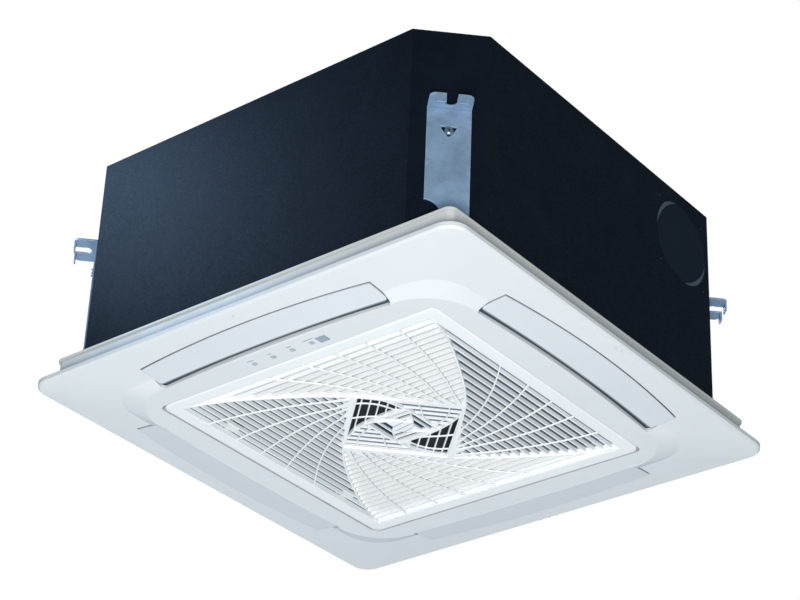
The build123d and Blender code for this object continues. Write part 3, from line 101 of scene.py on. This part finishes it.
class Surface:
    """A material with one Principled shader, and short calls for the nodes that feed it."""

    def __init__(self, name, colour, roughness=0.4, metallic=0.0, specular=0.5):
        self.material = bpy.data.materials.new(name)
        self.material.use_nodes = True
        self.tree = self.material.node_tree
        self.shader = self.tree.nodes["Principled BSDF"]
        self.set("Base Color", (*colour, 1.0))
        self.set("Roughness", roughness)
        self.set("Metallic", metallic)
        self.set("Specular IOR Level", specular)
        coords = self.tree.nodes.new("ShaderNodeTexCoord")
        self.place = coords.outputs["Object"]
        self.facing = coords.outputs["Normal"]

    def set(self, socket, value):
        self.shader.inputs[socket].default_value = value

    def link(self, output, socket):
        self.tree.links.new(output, self.shader.inputs[socket])

    def node(self, kind, inputs=None, **settings):
        """A new node. Each input gets a link from an output, or a constant."""
        node = self.tree.nodes.new(kind)
        for key, value in settings.items():
            setattr(node, key, value)
        for key, value in (inputs or {}).items():
            if isinstance(value, bpy.types.NodeSocket):
                self.tree.links.new(value, node.inputs[key])
            else:
                node.inputs[key].default_value = value
        return node

    def math(self, operation, a, b=0.0):
        return self.node("ShaderNodeMath", {0: a, 1: b}, operation=operation).outputs[0]

    def times(self, a, b):
        return self.math("MULTIPLY", a, b)

    def size_of(self, value):
        return self.math("ABSOLUTE", value)

    def vector(self, operation, a, b, output=0):
        return self.node("ShaderNodeVectorMath", {0: a, 1: b}, operation=operation).outputs[output]

    def split(self, vector):
        """The X, Y and Z of a vector."""
        return self.node("ShaderNodeSeparateXYZ", {0: vector}).outputs

    def stretched(self, scale):
        return self.node("ShaderNodeMapping", {"Vector": self.place, "Scale": scale}).outputs[0]

    def noise(self, scale, detail=2.0, roughness=0.5, place=None):
        inputs = {"Vector": place or self.place, "Scale": scale, "Detail": detail, "Roughness": roughness}
        return self.node("ShaderNodeTexNoise", inputs).outputs[0]

    def cells(self, scale):
        return self.node("ShaderNodeTexVoronoi", {"Vector": self.place, "Scale": scale}).outputs["Distance"]

    def crystals(self, scale, place):
        """A random brightness for each of many irregular cells."""
        colour = self.node("ShaderNodeTexVoronoi", {"Vector": place, "Scale": scale}).outputs["Color"]
        return self.node("ShaderNodeSeparateColor", {"Color": colour}).outputs[0]

    def waves(self, scale, direction):
        """Smooth bands across one axis."""
        inputs = {"Vector": self.place, "Scale": scale}
        return self.node("ShaderNodeTexWave", inputs, bands_direction=direction).outputs[1]

    def spread(self, value, low, high, out_low=0.0, out_high=1.0):
        """The value stretched from one range to another, and held at its ends."""
        inputs = {"Value": value, "From Min": low, "From Max": high, "To Min": out_low, "To Max": out_high}
        return self.node("ShaderNodeMapRange", inputs).outputs[0]

    def mix(self, factor, a, b):
        """Colour a where the factor is 0, colour b where it is 1."""
        a, b = ((*colour, 1.0) if isinstance(colour, tuple) else colour for colour in (a, b))
        return self.node("ShaderNodeMix", {0: factor, 6: a, 7: b}, data_type="RGBA").outputs[2]

    def tint(self, factor, a, b):
        self.link(self.mix(factor, a, b), "Base Color")

    def vary(self, noise, low, high):
        """Values from low to high that follow a noise."""
        return self.spread(noise, *NOISE_SPAN, low, high)

    def roughen(self, noise, low, high):
        self.link(self.vary(noise, low, high), "Roughness")

    def relief(self, height, distance, strength, edge=0.0):
        """Bump over the surface, whose sharp edges are rounded off by the radius named edge."""
        inputs = {"Height": height, "Distance": distance, "Strength": strength}
        if edge:
            inputs["Normal"] = self.soft_edges(edge)
        self.link(self.node("ShaderNodeBump", inputs).outputs[0], "Normal")

    def crevice(self, distance):
        """1 in the open, less in seams and inner corners narrower than the distance."""
        inputs = {"Distance": distance}
        return self.node("ShaderNodeAmbientOcclusion", inputs, samples=CREVICE_SAMPLES).outputs["AO"]

    def soft_edges(self, radius):
        """A normal that rounds off every sharp edge."""
        return self.node("ShaderNodeBevel", {"Radius": radius}, samples=BEVEL_SAMPLES).outputs[0]

    def edge_line(self, radius):
        """1 along sharp edges, 0 on flats: how far the softened normal leans away from the true one."""
        true = self.node("ShaderNodeNewGeometry").outputs["Normal"]
        lean = self.vector("DOT_PRODUCT", self.soft_edges(radius), true, "Value")
        return self.spread(lean, *EDGE_LEAN)

    def wobble(self, scale, size):
        """A small wandering offset, which bends a regular pattern."""
        colour = self.node("ShaderNodeTexNoise", {"Vector": self.place, "Scale": scale}).outputs["Color"]
        inputs = {0: self.vector("SUBTRACT", colour, (0.5, 0.5, 0.5)), "Scale": 2.0 * size}
        return self.node("ShaderNodeVectorMath", inputs, operation="SCALE").outputs[0]

    def disc(self, centre, radius, blur):
        """1 inside a round region of the part, 0 outside it."""
        reach = self.vector("DISTANCE", self.place, centre, "Value")
        return self.spread(reach, radius, radius - blur)


# ------------------------------------------------------------------ materials

# Painted shade: seams, inner corners and the flaps' gaps are darkened towards this colour.
PAINTED_SHADE_TINT = (0.018, 0.055, 0.095)
COAT_ROUGHNESS = 0.25
FINE_GRAIN = 2600.0
GRAIN_DEPTH = 0.02 * MM

FLAP_IN = 236.0 * MM                    # a flap's inner edge at its ends
FLAP_IN_BOW = 5.5 * MM                  # how far that edge bows outwards
FLAP_HALF = 167.0 * MM                  # half a flap's length
FLAP_GAP_SHADE = (1.2 * MM, 2.4 * MM)        # the painted gap shade line is full up to the first distance and ends at the second
FLAP_GAP_SHADE_SHARE = 0.75
NEAR_BLEND = 20.0 * MM                  # the painted gap shade sets in over this distance from the diagonal


def clear_of_flap_gap_shade(surface):
    """Less than 1 along the inner edges of the two flaps next to the near corner, 1 elsewhere: a painted shade line
    where their gaps fall dark.
    """
    x, y, _ = surface.split(surface.place)
    sides = [surface.size_of(axis) for axis in (x, y)]
    out, along = surface.math("MAXIMUM", *sides), surface.math("MINIMUM", *sides)
    share = surface.math("DIVIDE", along, FLAP_HALF)
    bow = surface.times(surface.times(share, share), FLAP_IN_BOW)
    past = surface.math("SUBTRACT", surface.math("ADD", out, bow), FLAP_IN + FLAP_IN_BOW)
    near = surface.spread(surface.math("SUBTRACT", x, y), 0.0, NEAR_BLEND)
    full, end = FLAP_GAP_SHADE
    line = surface.times(surface.spread(past, end, full), near)
    return surface.math("SUBTRACT", 1.0, surface.times(line, FLAP_GAP_SHADE_SHARE))


def add_grain(surface, edge):
    """Softened edges with fine spark-eroded grain over them."""
    surface.relief(surface.noise(FINE_GRAIN), GRAIN_DEPTH, 0.5, edge)


def moulded(name, colour, roughness=0.38, edge=0.8 * MM, specular=0.5, coat=0.0, crevice_shade_share=0.35, reach=3.5 * MM,
            lined=False):
    """Injection-moulded plastic: slow colour drift, and painted shade that darkens seams and inner corners down to a
    given share of the colour; where lined, also a painted shade line along the near flaps' inner edges.
    """
    surface = Surface(name, colour, roughness, specular=specular)
    surface.set("Coat Weight", coat)
    surface.set("Coat Roughness", COAT_ROUGHNESS)
    drift = surface.vary(surface.noise(5.0, detail=3.0), 0.97, 1.0)
    # painted shade: darker in seams and inner corners narrower than reach
    crevice_shade = surface.spread(surface.crevice(reach), 0.05, 0.8, crevice_shade_share, 1.0)
    drift_and_shade = surface.times(drift, crevice_shade)
    # where lined, a painted shade line darkens the inner edges of the two flaps next to the near corner
    if lined:
        drift_and_shade = surface.times(drift_and_shade, clear_of_flap_gap_shade(surface))
    surface.tint(drift_and_shade, PAINTED_SHADE_TINT, colour)
    surface.roughen(surface.noise(38.0, detail=4.0, roughness=0.6), roughness - 0.05, roughness + 0.06)
    add_grain(surface, edge)
    return surface.material


SLAT_SHADE_Z = (6.9 * MM, 7.7 * MM)     # the shade between the slats sets in and is full at these heights
SLAT_SHADE = (0.035, 0.12, 0.21)
SLAT_SHADE_SHARE = (0.34, 0.92)         # on walls along X, and on walls across it
HUB_AT = (0.0, 0.0, 3.0 * MM)
HUB_R = 17.0 * MM
HUB_PITCH = 8.6 * MM
HUB_SLOPE = 0.17                        # of the lines against X
HUB_LINE = (0.20, 0.12)                 # a line ends at the first share of the pitch and is full up to the second
HUB_SHADE = (0.30, 0.36, 0.42)


def hub_lines(surface, x, y, facing_z):
    """Fine lines across the small closed square in the middle of the louvre, on its lower face."""
    row = surface.math("ADD", y, surface.times(x, HUB_SLOPE))
    step = surface.math("FRACT", surface.math("DIVIDE", row, HUB_PITCH))
    line = surface.spread(step, *HUB_LINE)
    down = surface.spread(facing_z, -0.5, -0.9)
    return surface.times(line, surface.times(down, surface.disc(HUB_AT, HUB_R, 1.0 * MM)))


def slatted(name, colour, lit_wall_colour):
    """The louvre's plastic, with painted light and shade: walls facing ±Y are painted brighter, and between the
    slats a painted shade darkens it with depth, most on the walls across X.
    """
    surface = Surface(name, colour, roughness=0.38)
    x, y, z = surface.split(surface.place)
    facing_x, facing_y, facing_z = surface.split(surface.facing)
    # painted light: walls facing ±Y are painted brighter
    along = surface.spread(surface.size_of(facing_y), 0.3, 0.8)
    strength = surface.spread(surface.size_of(facing_x), 0.2, 0.8, *SLAT_SHADE_SHARE)
    plain = surface.mix(along, colour, lit_wall_colour)
    lined = surface.mix(hub_lines(surface, x, y, facing_z), plain, HUB_SHADE)
    # painted shade deep between the slats
    deep = surface.spread(z, *SLAT_SHADE_Z)
    surface.tint(surface.times(deep, strength), lined, SLAT_SHADE)
    add_grain(surface, 0.4 * MM)
    return surface.material


def sheet_metal(name, colour, roughness=0.4, spots=0.35, metallic=0.9):
    """Galvanised sheet: faint crystals, soft clouds, small rubbed spots, a painted highlight along sharp edges, and
    painted shade in hollows.
    """
    surface = Surface(name, colour, roughness, metallic)
    spangle = surface.crystals(95.0, surface.vector("ADD", surface.place, surface.wobble(30.0, 9.0 * MM)))
    cloud = surface.noise(34.0, detail=4.0, roughness=0.65)
    rubbed = surface.spread(surface.noise(210.0, detail=3.0, roughness=0.6), 0.58, 0.72)
    marks = surface.math("ADD", surface.times(spangle, 0.30), surface.times(cloud, 0.9))
    marks = surface.math("ADD", marks, surface.times(rubbed, 0.16))
    dull = surface.mix(surface.spread(marks, 0.3, 0.95), shade(colour, 1.0 - spots), shade(colour, 1.15))
    # painted highlight along sharp edges
    edge_highlighted = surface.mix(surface.times(surface.edge_line(0.9 * MM), 0.75), dull, shade(colour, 2.0))
    # painted shade in hollows and creases
    out_of_hollow_shade = surface.spread(surface.crevice(2.5 * MM), 0.2, 0.8)
    surface.tint(out_of_hollow_shade, shade(colour, 0.12), edge_highlighted)
    surface.roughen(cloud, roughness - 0.08, roughness + 0.14)
    surface.relief(cloud, 0.12 * MM, 0.4, edge=0.4 * MM)
    return surface.material


KNOCKOUT_AT = (casing_corner.x, 165.5 * MM, casing_corner.z - 69.5 * MM)
KNOCKOUT_R = 53.0 * MM                  # of the pressed disc, inside its crescent slits


def powder_coat(name, colour, light):
    """Dark textured powder coat with lighter specks, a painted highlight along its folds, and lighter on the pressed
    disc.
    """
    surface = Surface(name, colour, roughness=0.6, specular=0.07)
    specks = surface.noise(1150.0, roughness=0.6)
    cloud = surface.noise(26.0, detail=3.0, roughness=0.6)
    grain = surface.spread(surface.math("ADD", specks, surface.times(cloud, 0.22)), 0.50, 0.84)
    coat = surface.mix(grain, colour, light)
    pressed = surface.times(surface.disc(KNOCKOUT_AT, KNOCKOUT_R, 0.6 * MM), 0.5)
    coat = surface.mix(pressed, coat, shade(light, 1.3))
    # painted highlight along the folds and edges
    fold_highlight = surface.times(surface.edge_line(1.2 * MM), 0.22)
    surface.link(surface.mix(fold_highlight, coat, shade(light, 2.2)), "Base Color")
    surface.roughen(specks, 0.62, 0.44)
    surface.relief(surface.noise(1500.0), 0.12 * MM, 0.55, edge=0.7 * MM)
    return surface.material


def foam(name, colour):
    """Bead foam: round cells pressed together."""
    surface = Surface(name, colour, roughness=0.85, specular=0.2)
    beads = surface.cells(330.0)
    surface.tint(surface.spread(beads, 0.1, 0.6), colour, shade(colour, 0.78))
    surface.relief(beads, 0.35 * MM, 0.7)
    return surface.material


def woven_net(name, colour):
    """Filter net: crossing threads with dark holes between them."""
    surface = Surface(name, colour, roughness=0.7, specular=0.3)
    across = surface.waves(330.0, "X")
    along = surface.waves(330.0, "Y")
    threads = surface.math("MAXIMUM", across, along)
    surface.tint(surface.spread(threads, 0.3, 0.95), shade(colour, 0.25), colour)
    surface.relief(threads, 0.3 * MM, 0.8)
    return surface.material


def finned(name, colour):
    """Stack of thin upright fins."""
    surface = Surface(name, colour, roughness=0.35, metallic=0.85)
    stack = surface.times(surface.waves(95.0, "X"), surface.waves(95.0, "Y"))
    surface.tint(surface.spread(stack, 0.1, 0.8), shade(colour, 0.35), colour)
    surface.relief(stack, 0.8 * MM, 0.6)
    return surface.material


def metal(name, colour, roughness=0.3):
    """Turned or drawn bare metal with light tarnish."""
    surface = Surface(name, colour, roughness, metallic=1.0)
    tarnish = surface.noise(90.0, detail=5.0, roughness=0.6)
    surface.tint(surface.spread(tarnish, 0.35, 0.75), colour, shade(colour, 0.66))
    surface.roughen(tarnish, roughness - 0.08, roughness + 0.12)
    lines = surface.noise(900.0, place=surface.stretched((1.0, 1.0, 0.08)))
    surface.relief(lines, 0.01 * MM, 0.4, edge=0.3 * MM)
    return surface.material


def rubber(name, colour):
    """Black rubber with a little dust on it."""
    surface = Surface(name, colour, roughness=0.75, specular=0.3)
    dust = surface.noise(120.0, detail=4.0, roughness=0.6)
    surface.tint(surface.spread(dust, 0.4, 0.8), colour, shade(colour, 2.2))
    surface.relief(surface.noise(1400.0), 0.03 * MM, 0.6)
    return surface.material


def circuit_board(name, colour):
    """Solder mask over copper tracks."""
    surface = Surface(name, colour, roughness=0.35)
    tracks = surface.node("ShaderNodeTexBrick", {"Vector": surface.place, "Scale": 160.0}, offset=0.37).outputs[1]
    surface.tint(surface.spread(tracks, 0.0, 1.0), colour, shade(colour, 1.9))
    surface.relief(tracks, 0.05 * MM, 0.5)
    return surface.material


def smoky_lens(name, colour):
    """Tinted translucent lens, lightly frosted."""
    surface = Surface(name, colour, roughness=0.22, specular=0.6)
    frost = surface.noise(700.0)
    surface.tint(surface.vary(frost, 0.0, 1.0), shade(colour, 0.92), shade(colour, 1.06))
    surface.set("Coat Weight", 0.5)
    surface.relief(frost, 0.01 * MM, 0.4, edge=0.4 * MM)
    return surface.material


PANEL_WHITE = (0.67, 0.69, 0.695)
GRILLE_WHITE = (0.80, 0.81, 0.81)
# painted light: the slat walls facing ±Y get this brighter white than the rest of the grille
LIT_WALL_WHITE = (1.0, 1.0, 1.0)
SLATTED_NODES = ("grille_louvre", "grille_ribs")


def make_materials():
    """One finished material for each of the record's material slots."""
    return {
        "panel": moulded("panel", PANEL_WHITE, 0.46, specular=0.3, coat=0.04, crevice_shade_share=0.12, reach=8.0 * MM),
        "panel_back": moulded("panel_back", (0.60, 0.60, 0.58), 0.42),
        "duct": moulded("duct", (0.10, 0.17, 0.23), 0.6),
        # the flaps also get a painted shade line along the inner edges of the two flaps next to the near corner
        "flap": moulded("flap", (0.62, 0.645, 0.655), 0.42, specular=0.3, coat=0.05, crevice_shade_share=0.12, reach=8.0 * MM,
                        lined=True),
        "motor_case": metal("motor_case", (0.62, 0.62, 0.58), 0.38),
        "grille": moulded("grille", GRILLE_WHITE, 0.36, edge=0.5 * MM, crevice_shade_share=0.8, reach=1.5 * MM),
        "latch": moulded("latch", (0.82, 0.84, 0.85), 0.4),
        "filter_frame": moulded("filter_frame", (0.80, 0.83, 0.84), 0.5),
        "filter_net": woven_net("filter_net", (0.010, 0.014, 0.022)),
        "circuit_board": circuit_board("circuit_board", (0.02, 0.12, 0.05)),
        "lamp": smoky_lens("lamp", (0.40, 0.47, 0.52)),
        "receiver": smoky_lens("receiver", (0.30, 0.36, 0.42)),
        "screw": metal("screw", (0.50, 0.60, 0.68), 0.3),
        "casing": powder_coat("casing", (0.0014, 0.0030, 0.0057), (0.0076, 0.0142, 0.0262)),
        "insulation": foam("insulation", (0.085, 0.115, 0.15)),
        "drain_foam": foam("drain_foam", (0.78, 0.80, 0.81)),
        "bell_mouth": moulded("bell_mouth", (0.02, 0.021, 0.024), 0.5),
        "fan": moulded("fan", (0.024, 0.025, 0.028), 0.45),
        "steel": metal("steel", (0.60, 0.61, 0.63), 0.28),
        "motor_steel": metal("motor_steel", (0.10, 0.10, 0.105), 0.5),
        "rubber": rubber("rubber", (0.018, 0.018, 0.019)),
        "fins": finned("fins", (0.66, 0.70, 0.72)),
        "galvanised": sheet_metal("galvanised", (0.55, 0.59, 0.62)),
        "copper": metal("copper", (0.78, 0.40, 0.24), 0.32),
        "brass": metal("brass", (0.72, 0.55, 0.26), 0.3),
        "pump": moulded("pump", (0.72, 0.74, 0.75), 0.45),
        "pvc": moulded("pvc", (0.70, 0.72, 0.73), 0.4),
        "terminal": moulded("terminal", (0.72, 0.69, 0.60), 0.5),
        "bracket": sheet_metal("bracket", (0.24, 0.345, 0.485), 0.45, 0.22, 0.35),
    }


def dress_nodes(materials):
    """Gives every CAD node the material of its slot, except the louvre and its ribs, which get the slatted material.
    """
    slots = {part["node"]: part["material_slot"] for part in frame["record"]["subparts"]}
    slats = slatted("slats", GRILLE_WHITE, LIT_WALL_WHITE)
    for name, node in frame["nodes"].items():
        node.data.materials.clear()
        node.data.materials.append(slats if name in SLATTED_NODES else materials[slots[name]])


# ------------------------------------------------------------------ light and surroundings

SKY = (0.70, 0.88, 1.0)
SKY_STRENGTH = 0.26
WHITE = (1.0, 1.0, 1.0)
BLUISH = (0.44, 0.68, 1.0)

SOFTBOXES = (  # name, place, point aimed at, side of the square, power, colour
    ("key", (1.75, -2.15, -1.75), (0.0, 0.0, 0.05), 0.8, 98.0, WHITE),
    ("fill", (-1.0, 0.6, -1.9), (-0.1, 0.1, 0.0), 1.2, 12.0, (0.86, 0.95, 1.0)),
    ("top", (-1.3, 1.5, 2.3), (0.0, 0.0, 0.1), 1.6, 90.0, WHITE))
SHEEN_AT = (-0.58, -0.69, 0.51)
SHEEN_AIM = (-0.20, -0.29, 0.325)
SHEEN_POWER = 34.0
SHEEN_CONE = 44.0           # full angle in degrees
SHEEN_BLEND = 0.8
SHEEN_R = 0.15

FLOOR_Z = -2.45
FLOOR_HALF = 9.0
FLOOR_COLOURS = ((0.80, 0.82, 0.84), (0.84, 0.86, 0.88))


def add_world():
    """White to the eye. The light it gives is weaker and pale blue."""
    world = bpy.data.worlds.new("studio")
    world.use_nodes = True
    bpy.context.scene.world = world
    nodes, links = world.node_tree.nodes, world.node_tree.links
    light = nodes["Background"]
    light.inputs["Color"].default_value = (*SKY, 1.0)
    light.inputs["Strength"].default_value = SKY_STRENGTH
    plain = nodes.new("ShaderNodeBackground")
    plain.inputs["Color"].default_value = (*WHITE, 1.0)
    rays = nodes.new("ShaderNodeLightPath")
    mix = nodes.new("ShaderNodeMixShader")
    links.new(rays.outputs["Is Camera Ray"], mix.inputs[0])
    links.new(light.outputs[0], mix.inputs[1])
    links.new(plain.outputs[0], mix.inputs[2])
    links.new(mix.outputs[0], nodes["World Output"].inputs[0])


def place_light(data, at, aim):
    """A lamp at one point, turned towards another."""
    light = bpy.data.objects.new(data.name, data)
    light.location = at
    light.rotation_euler = (Vector(aim) - Vector(at)).to_track_quat("-Z", "Y").to_euler()
    bpy.context.scene.collection.objects.link(light)


def add_softbox(name, at, aim, size, power, colour):
    data = bpy.data.lights.new(name, "AREA")
    data.shape = "SQUARE"
    data.size = size
    data.energy = power
    data.color = colour
    place_light(data, at, aim)


def add_sheen():
    """A close bluish lamp for the casing's upper left, kept off the panel's rim by its cone."""
    data = bpy.data.lights.new("sheen", "SPOT")
    data.energy = SHEEN_POWER
    data.color = BLUISH
    data.shadow_soft_size = SHEEN_R
    data.spot_size = math.radians(SHEEN_CONE)
    data.spot_blend = SHEEN_BLEND
    place_light(data, SHEEN_AT, SHEEN_AIM)


def add_floor():
    half = FLOOR_HALF
    corners = [(-half, -half, FLOOR_Z), (half, -half, FLOOR_Z), (half, half, FLOOR_Z), (-half, half, FLOOR_Z)]
    data = bpy.data.meshes.new("floor")
    data.from_pydata(corners, [], [(0, 1, 2, 3)])
    surface = Surface("floor", FLOOR_COLOURS[0], roughness=0.8, specular=0.2)
    surface.tint(surface.noise(1.5, detail=3.0), *FLOOR_COLOURS)
    data.materials.append(surface.material)
    plane = bpy.data.objects.new("floor", data)
    bpy.context.scene.collection.objects.link(plane)


def set_view():
    """Plain colours, with no tone curve."""
    view = bpy.context.scene.view_settings
    view.view_transform = "Standard"
    view.look = "None"


def add_surroundings():
    add_world()
    for softbox in SOFTBOXES:
        add_softbox(*softbox)
    add_sheen()
    add_floor()


# ------------------------------------------------------------------ small modelled pieces


def add_piece(name, bm, materials, body, slot, smooth=False):
    """A new object of the finished mesh, on a CAD body."""
    bmesh.ops.recalc_face_normals(bm, faces=bm.faces)
    data = bpy.data.meshes.new(name)
    bm.to_mesh(data)
    bm.free()
    for polygon in data.polygons:
        polygon.use_smooth = smooth
    data.materials.append(materials[slot])
    piece = bpy.data.objects.new(name, data)
    bpy.context.scene.collection.objects.link(piece)
    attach(piece, body)


def ring_of(bm, place, points):
    """New vertices at the points, moved to a place."""
    return [bm.verts.new(place @ Vector(point)) for point in points]


def bridge(bm, low, high):
    """A band of four-sided faces between two loops."""
    count = len(low)
    for k in range(count):
        n = (k + 1) % count
        bm.faces.new((low[k], low[n], high[n], high[k]))


def lidded(bm, loops):
    """A closed solid through a stack of loops."""
    for low, high in zip(loops, loops[1:]):
        bridge(bm, low, high)
    bm.faces.new(loops[0])
    bm.faces.new(loops[-1])


PAD_STEPS = 6           # facets of a pad's rounded end
PAD_SHOULDER = 0.55     # share of a pad's height where its sloped edge begins


def rounded_pad(bm, centre, length, width, height, turn=0.0, rim=0.35):
    """A low pad under a surface that faces down, with sloped sides and rounded ends."""
    place = Matrix.Translation(centre) @ Matrix.Rotation(turn, 4, "Z")
    straight = (length - width) / 2
    loops = []
    for share, drop in ((1.0, 0.0), (1.0, PAD_SHOULDER), (1.0 - rim, 1.0)):
        points = []
        for end in (1, -1):
            for k in range(PAD_STEPS + 1):
                angle = math.pi * k / PAD_STEPS - math.pi / 2
                x = end * (straight + width / 2 * share * math.cos(angle))
                y = end * width / 2 * share * math.sin(angle)
                points.append((x, y, -height * drop))
        loops.append(ring_of(bm, place, points))
    lidded(bm, loops)


BODY_W = 2.0 * casing_corner.x
CORNERS = {  # direction that each cut corner faces in degrees, and how much is cut from each side
    "near": (-45.0, 62.0 * MM), "right": (45.0, 62.0 * MM), "far": (135.0, 62.0 * MM), "left": (225.0, 40.0 * MM)}
DIMPLE_FLOOR = 1.2 * MM
SCREW_Z = 174.5 * MM
HEAD = (  # a pan head's profile from its rim to its recess: radius, and height above the dimple's floor, millimetres
    (5.1, 0.0), (5.1, 1.6), (4.7, 2.9), (3.7, 3.9), (2.5, 4.25), (2.15, 4.28))
HEAD_FACETS = 24
RECESS_POINTS = 8
RECESS_R = (2.4 * MM, 1.1 * MM)     # of its arms' tips, and of the corners between them
RECESS_TOP = 4.36 * MM              # above the dimple's floor
RECESS_T = 0.16 * MM
DIMPLE = ((0.0, -7.5), (9.6, 5.6), (-9.6, 5.6))     # corners about the screw, millimetres
DIMPLE_ROUND = 3.2 * MM
DIMPLE_STEPS = 4
DIMPLE_LAYER = (0.02 * MM, 0.12 * MM)   # the dark plate's two faces, above the dimple's floor


def corner_place(name):
    """From a cut corner's own plane (X along it, Y outwards) to the part's frame."""
    angle, leg = CORNERS[name]
    distance = (BODY_W - leg) / math.sqrt(2)
    return Matrix.Rotation(math.radians(angle - 90.0), 4, "Z") @ Matrix.Translation((0.0, distance, 0.0))


def plate(bm, place, outline, low, high):
    """A flat plate between two distances above the dimple's floor, its outline given about the screw."""
    lidded(bm, [ring_of(bm, place, [(x, DIMPLE_FLOOR + out, SCREW_Z + z) for x, z in outline])
                for out in (low, high)])


def pan_head(bm, place):
    """A domed screw head over the fixing."""
    loops = []
    for radius, height in HEAD:
        points = []
        for k in range(HEAD_FACETS):
            angle = 2 * math.pi * k / HEAD_FACETS
            x, z = radius * MM * math.cos(angle), radius * MM * math.sin(angle)
            points.append((x, DIMPLE_FLOOR + height * MM, SCREW_Z + z))
        loops.append(ring_of(bm, place, points))
    lidded(bm, loops)


def cross_recess_shade(bm, place):
    """A dark four-armed plate on the head's face: painted shade where the cross recess is."""
    outline = []
    for k in range(RECESS_POINTS):
        angle = 2 * math.pi * k / RECESS_POINTS
        radius = RECESS_R[k % 2]
        outline.append((radius * math.cos(angle), radius * math.sin(angle)))
    plate(bm, place, outline, RECESS_TOP - RECESS_T, RECESS_TOP)


def dimple_shade(bm, place):
    """The dark opening behind the screw: a rounded three-cornered plate on the dimple's floor."""
    corners = [Vector(corner) * MM for corner in DIMPLE]
    outline = []
    for k, corner in enumerate(corners):
        before, after = corners[k - 1], corners[(k + 1) % len(corners)]
        start = corner + (before - corner).normalized() * DIMPLE_ROUND
        end = corner + (after - corner).normalized() * DIMPLE_ROUND
        for step in range(DIMPLE_STEPS + 1):
            t = step / DIMPLE_STEPS
            outline.append(start * (1 - t) ** 2 + corner * 2 * t * (1 - t) + end * t ** 2)
    plate(bm, place, outline, *DIMPLE_LAYER)


BRACKET_DETAILS = (  # name, how each is made, material slot, smooth
    ("screw_heads", pan_head, "screw", True),
    # the recess piece is a dark plate: painted shade of each screw's cross recess
    ("screw_recess_shades", cross_recess_shade, "motor_steel", False),
    ("dimple_shades", dimple_shade, "casing", False))


def add_bracket_details(materials):
    for name, make, slot, smooth in BRACKET_DETAILS:
        bm = bmesh.new()
        for corner in CORNERS:
            make(bm, corner_place(corner))
        add_piece(name, bm, materials, "cabinet", slot, smooth)


CROWN_Z = 6.5 * MM          # the crown's height where it starts, and at the rim
EDGE_Z = 11.0 * MM
CROWN_HALF = 246.0 * MM     # the distances from the centre that go with them
RIM_BEVEL = 2.5 * MM
CROWN_END = cad_box[1][0] - RIM_BEVEL


def crown_z(u):
    """Height of the crowned outer surface at the distance u from the centre."""
    return CROWN_Z + (EDGE_Z - CROWN_Z) * (u - CROWN_HALF) / (CROWN_END - CROWN_HALF)


OUTLET_MARKS = {  # raised marks that number the outlets: place along the rim and distance from the centre, in mm
    "front": ((-2.0, 298.0),),
    "right": ((-3.0, 302.5), (5.5, 303.4)),
    "back": ((18.0, 307.0), (5.6, 307.0), (-6.4, 307.0)),
    "left": ((10.0, 304.0), (-2.0, 304.0), (-13.0, 304.0), (-25.5, 304.0)),
}
SIDE_TURN = {"right": 0.0, "back": 90.0, "left": 180.0, "front": 270.0}
MARK_SIZE = (4.4 * MM, 2.1 * MM, 0.8 * MM)
MARK_SINK = 0.1 * MM
LAMP_DASHES = ((-41.0, 10.0), (-13.0, 6.0), (15.0, 8.0), (43.0, 14.0))  # middle and length, millimetres
DASH_Y = -225.0 * MM
DASH_W = 1.5 * MM
DASH_H = 0.1 * MM
DASH_SINK = 0.02 * MM
DASH_RIM = 0.2


def add_outlet_marks(materials):
    bm = bmesh.new()
    for side, places in OUTLET_MARKS.items():
        turn = math.radians(SIDE_TURN[side])
        for along, out in places:
            u = out * MM
            centre = Matrix.Rotation(turn, 3, "Z") @ Vector((u, along * MM, crown_z(u) + MARK_SINK))
            rounded_pad(bm, centre, *MARK_SIZE, turn + math.pi / 2)
    add_piece("outlet_marks", bm, materials, "cabinet", "panel", True)


def add_lamp_dashes(materials):
    bm = bmesh.new()
    for x, length in LAMP_DASHES:
        rounded_pad(bm, (x * MM, DASH_Y, DASH_SINK), length * MM, DASH_W, DASH_H, rim=DASH_RIM)
    add_piece("lamp_dashes", bm, materials, "cabinet", "receiver")


# ------------------------------------------------------------------ the whole

materials = make_materials()
add_camera()
set_view()
add_surroundings()
dress_nodes(materials)
add_outlet_marks(materials)
add_lamp_dashes(materials)
add_bracket_details(materials)
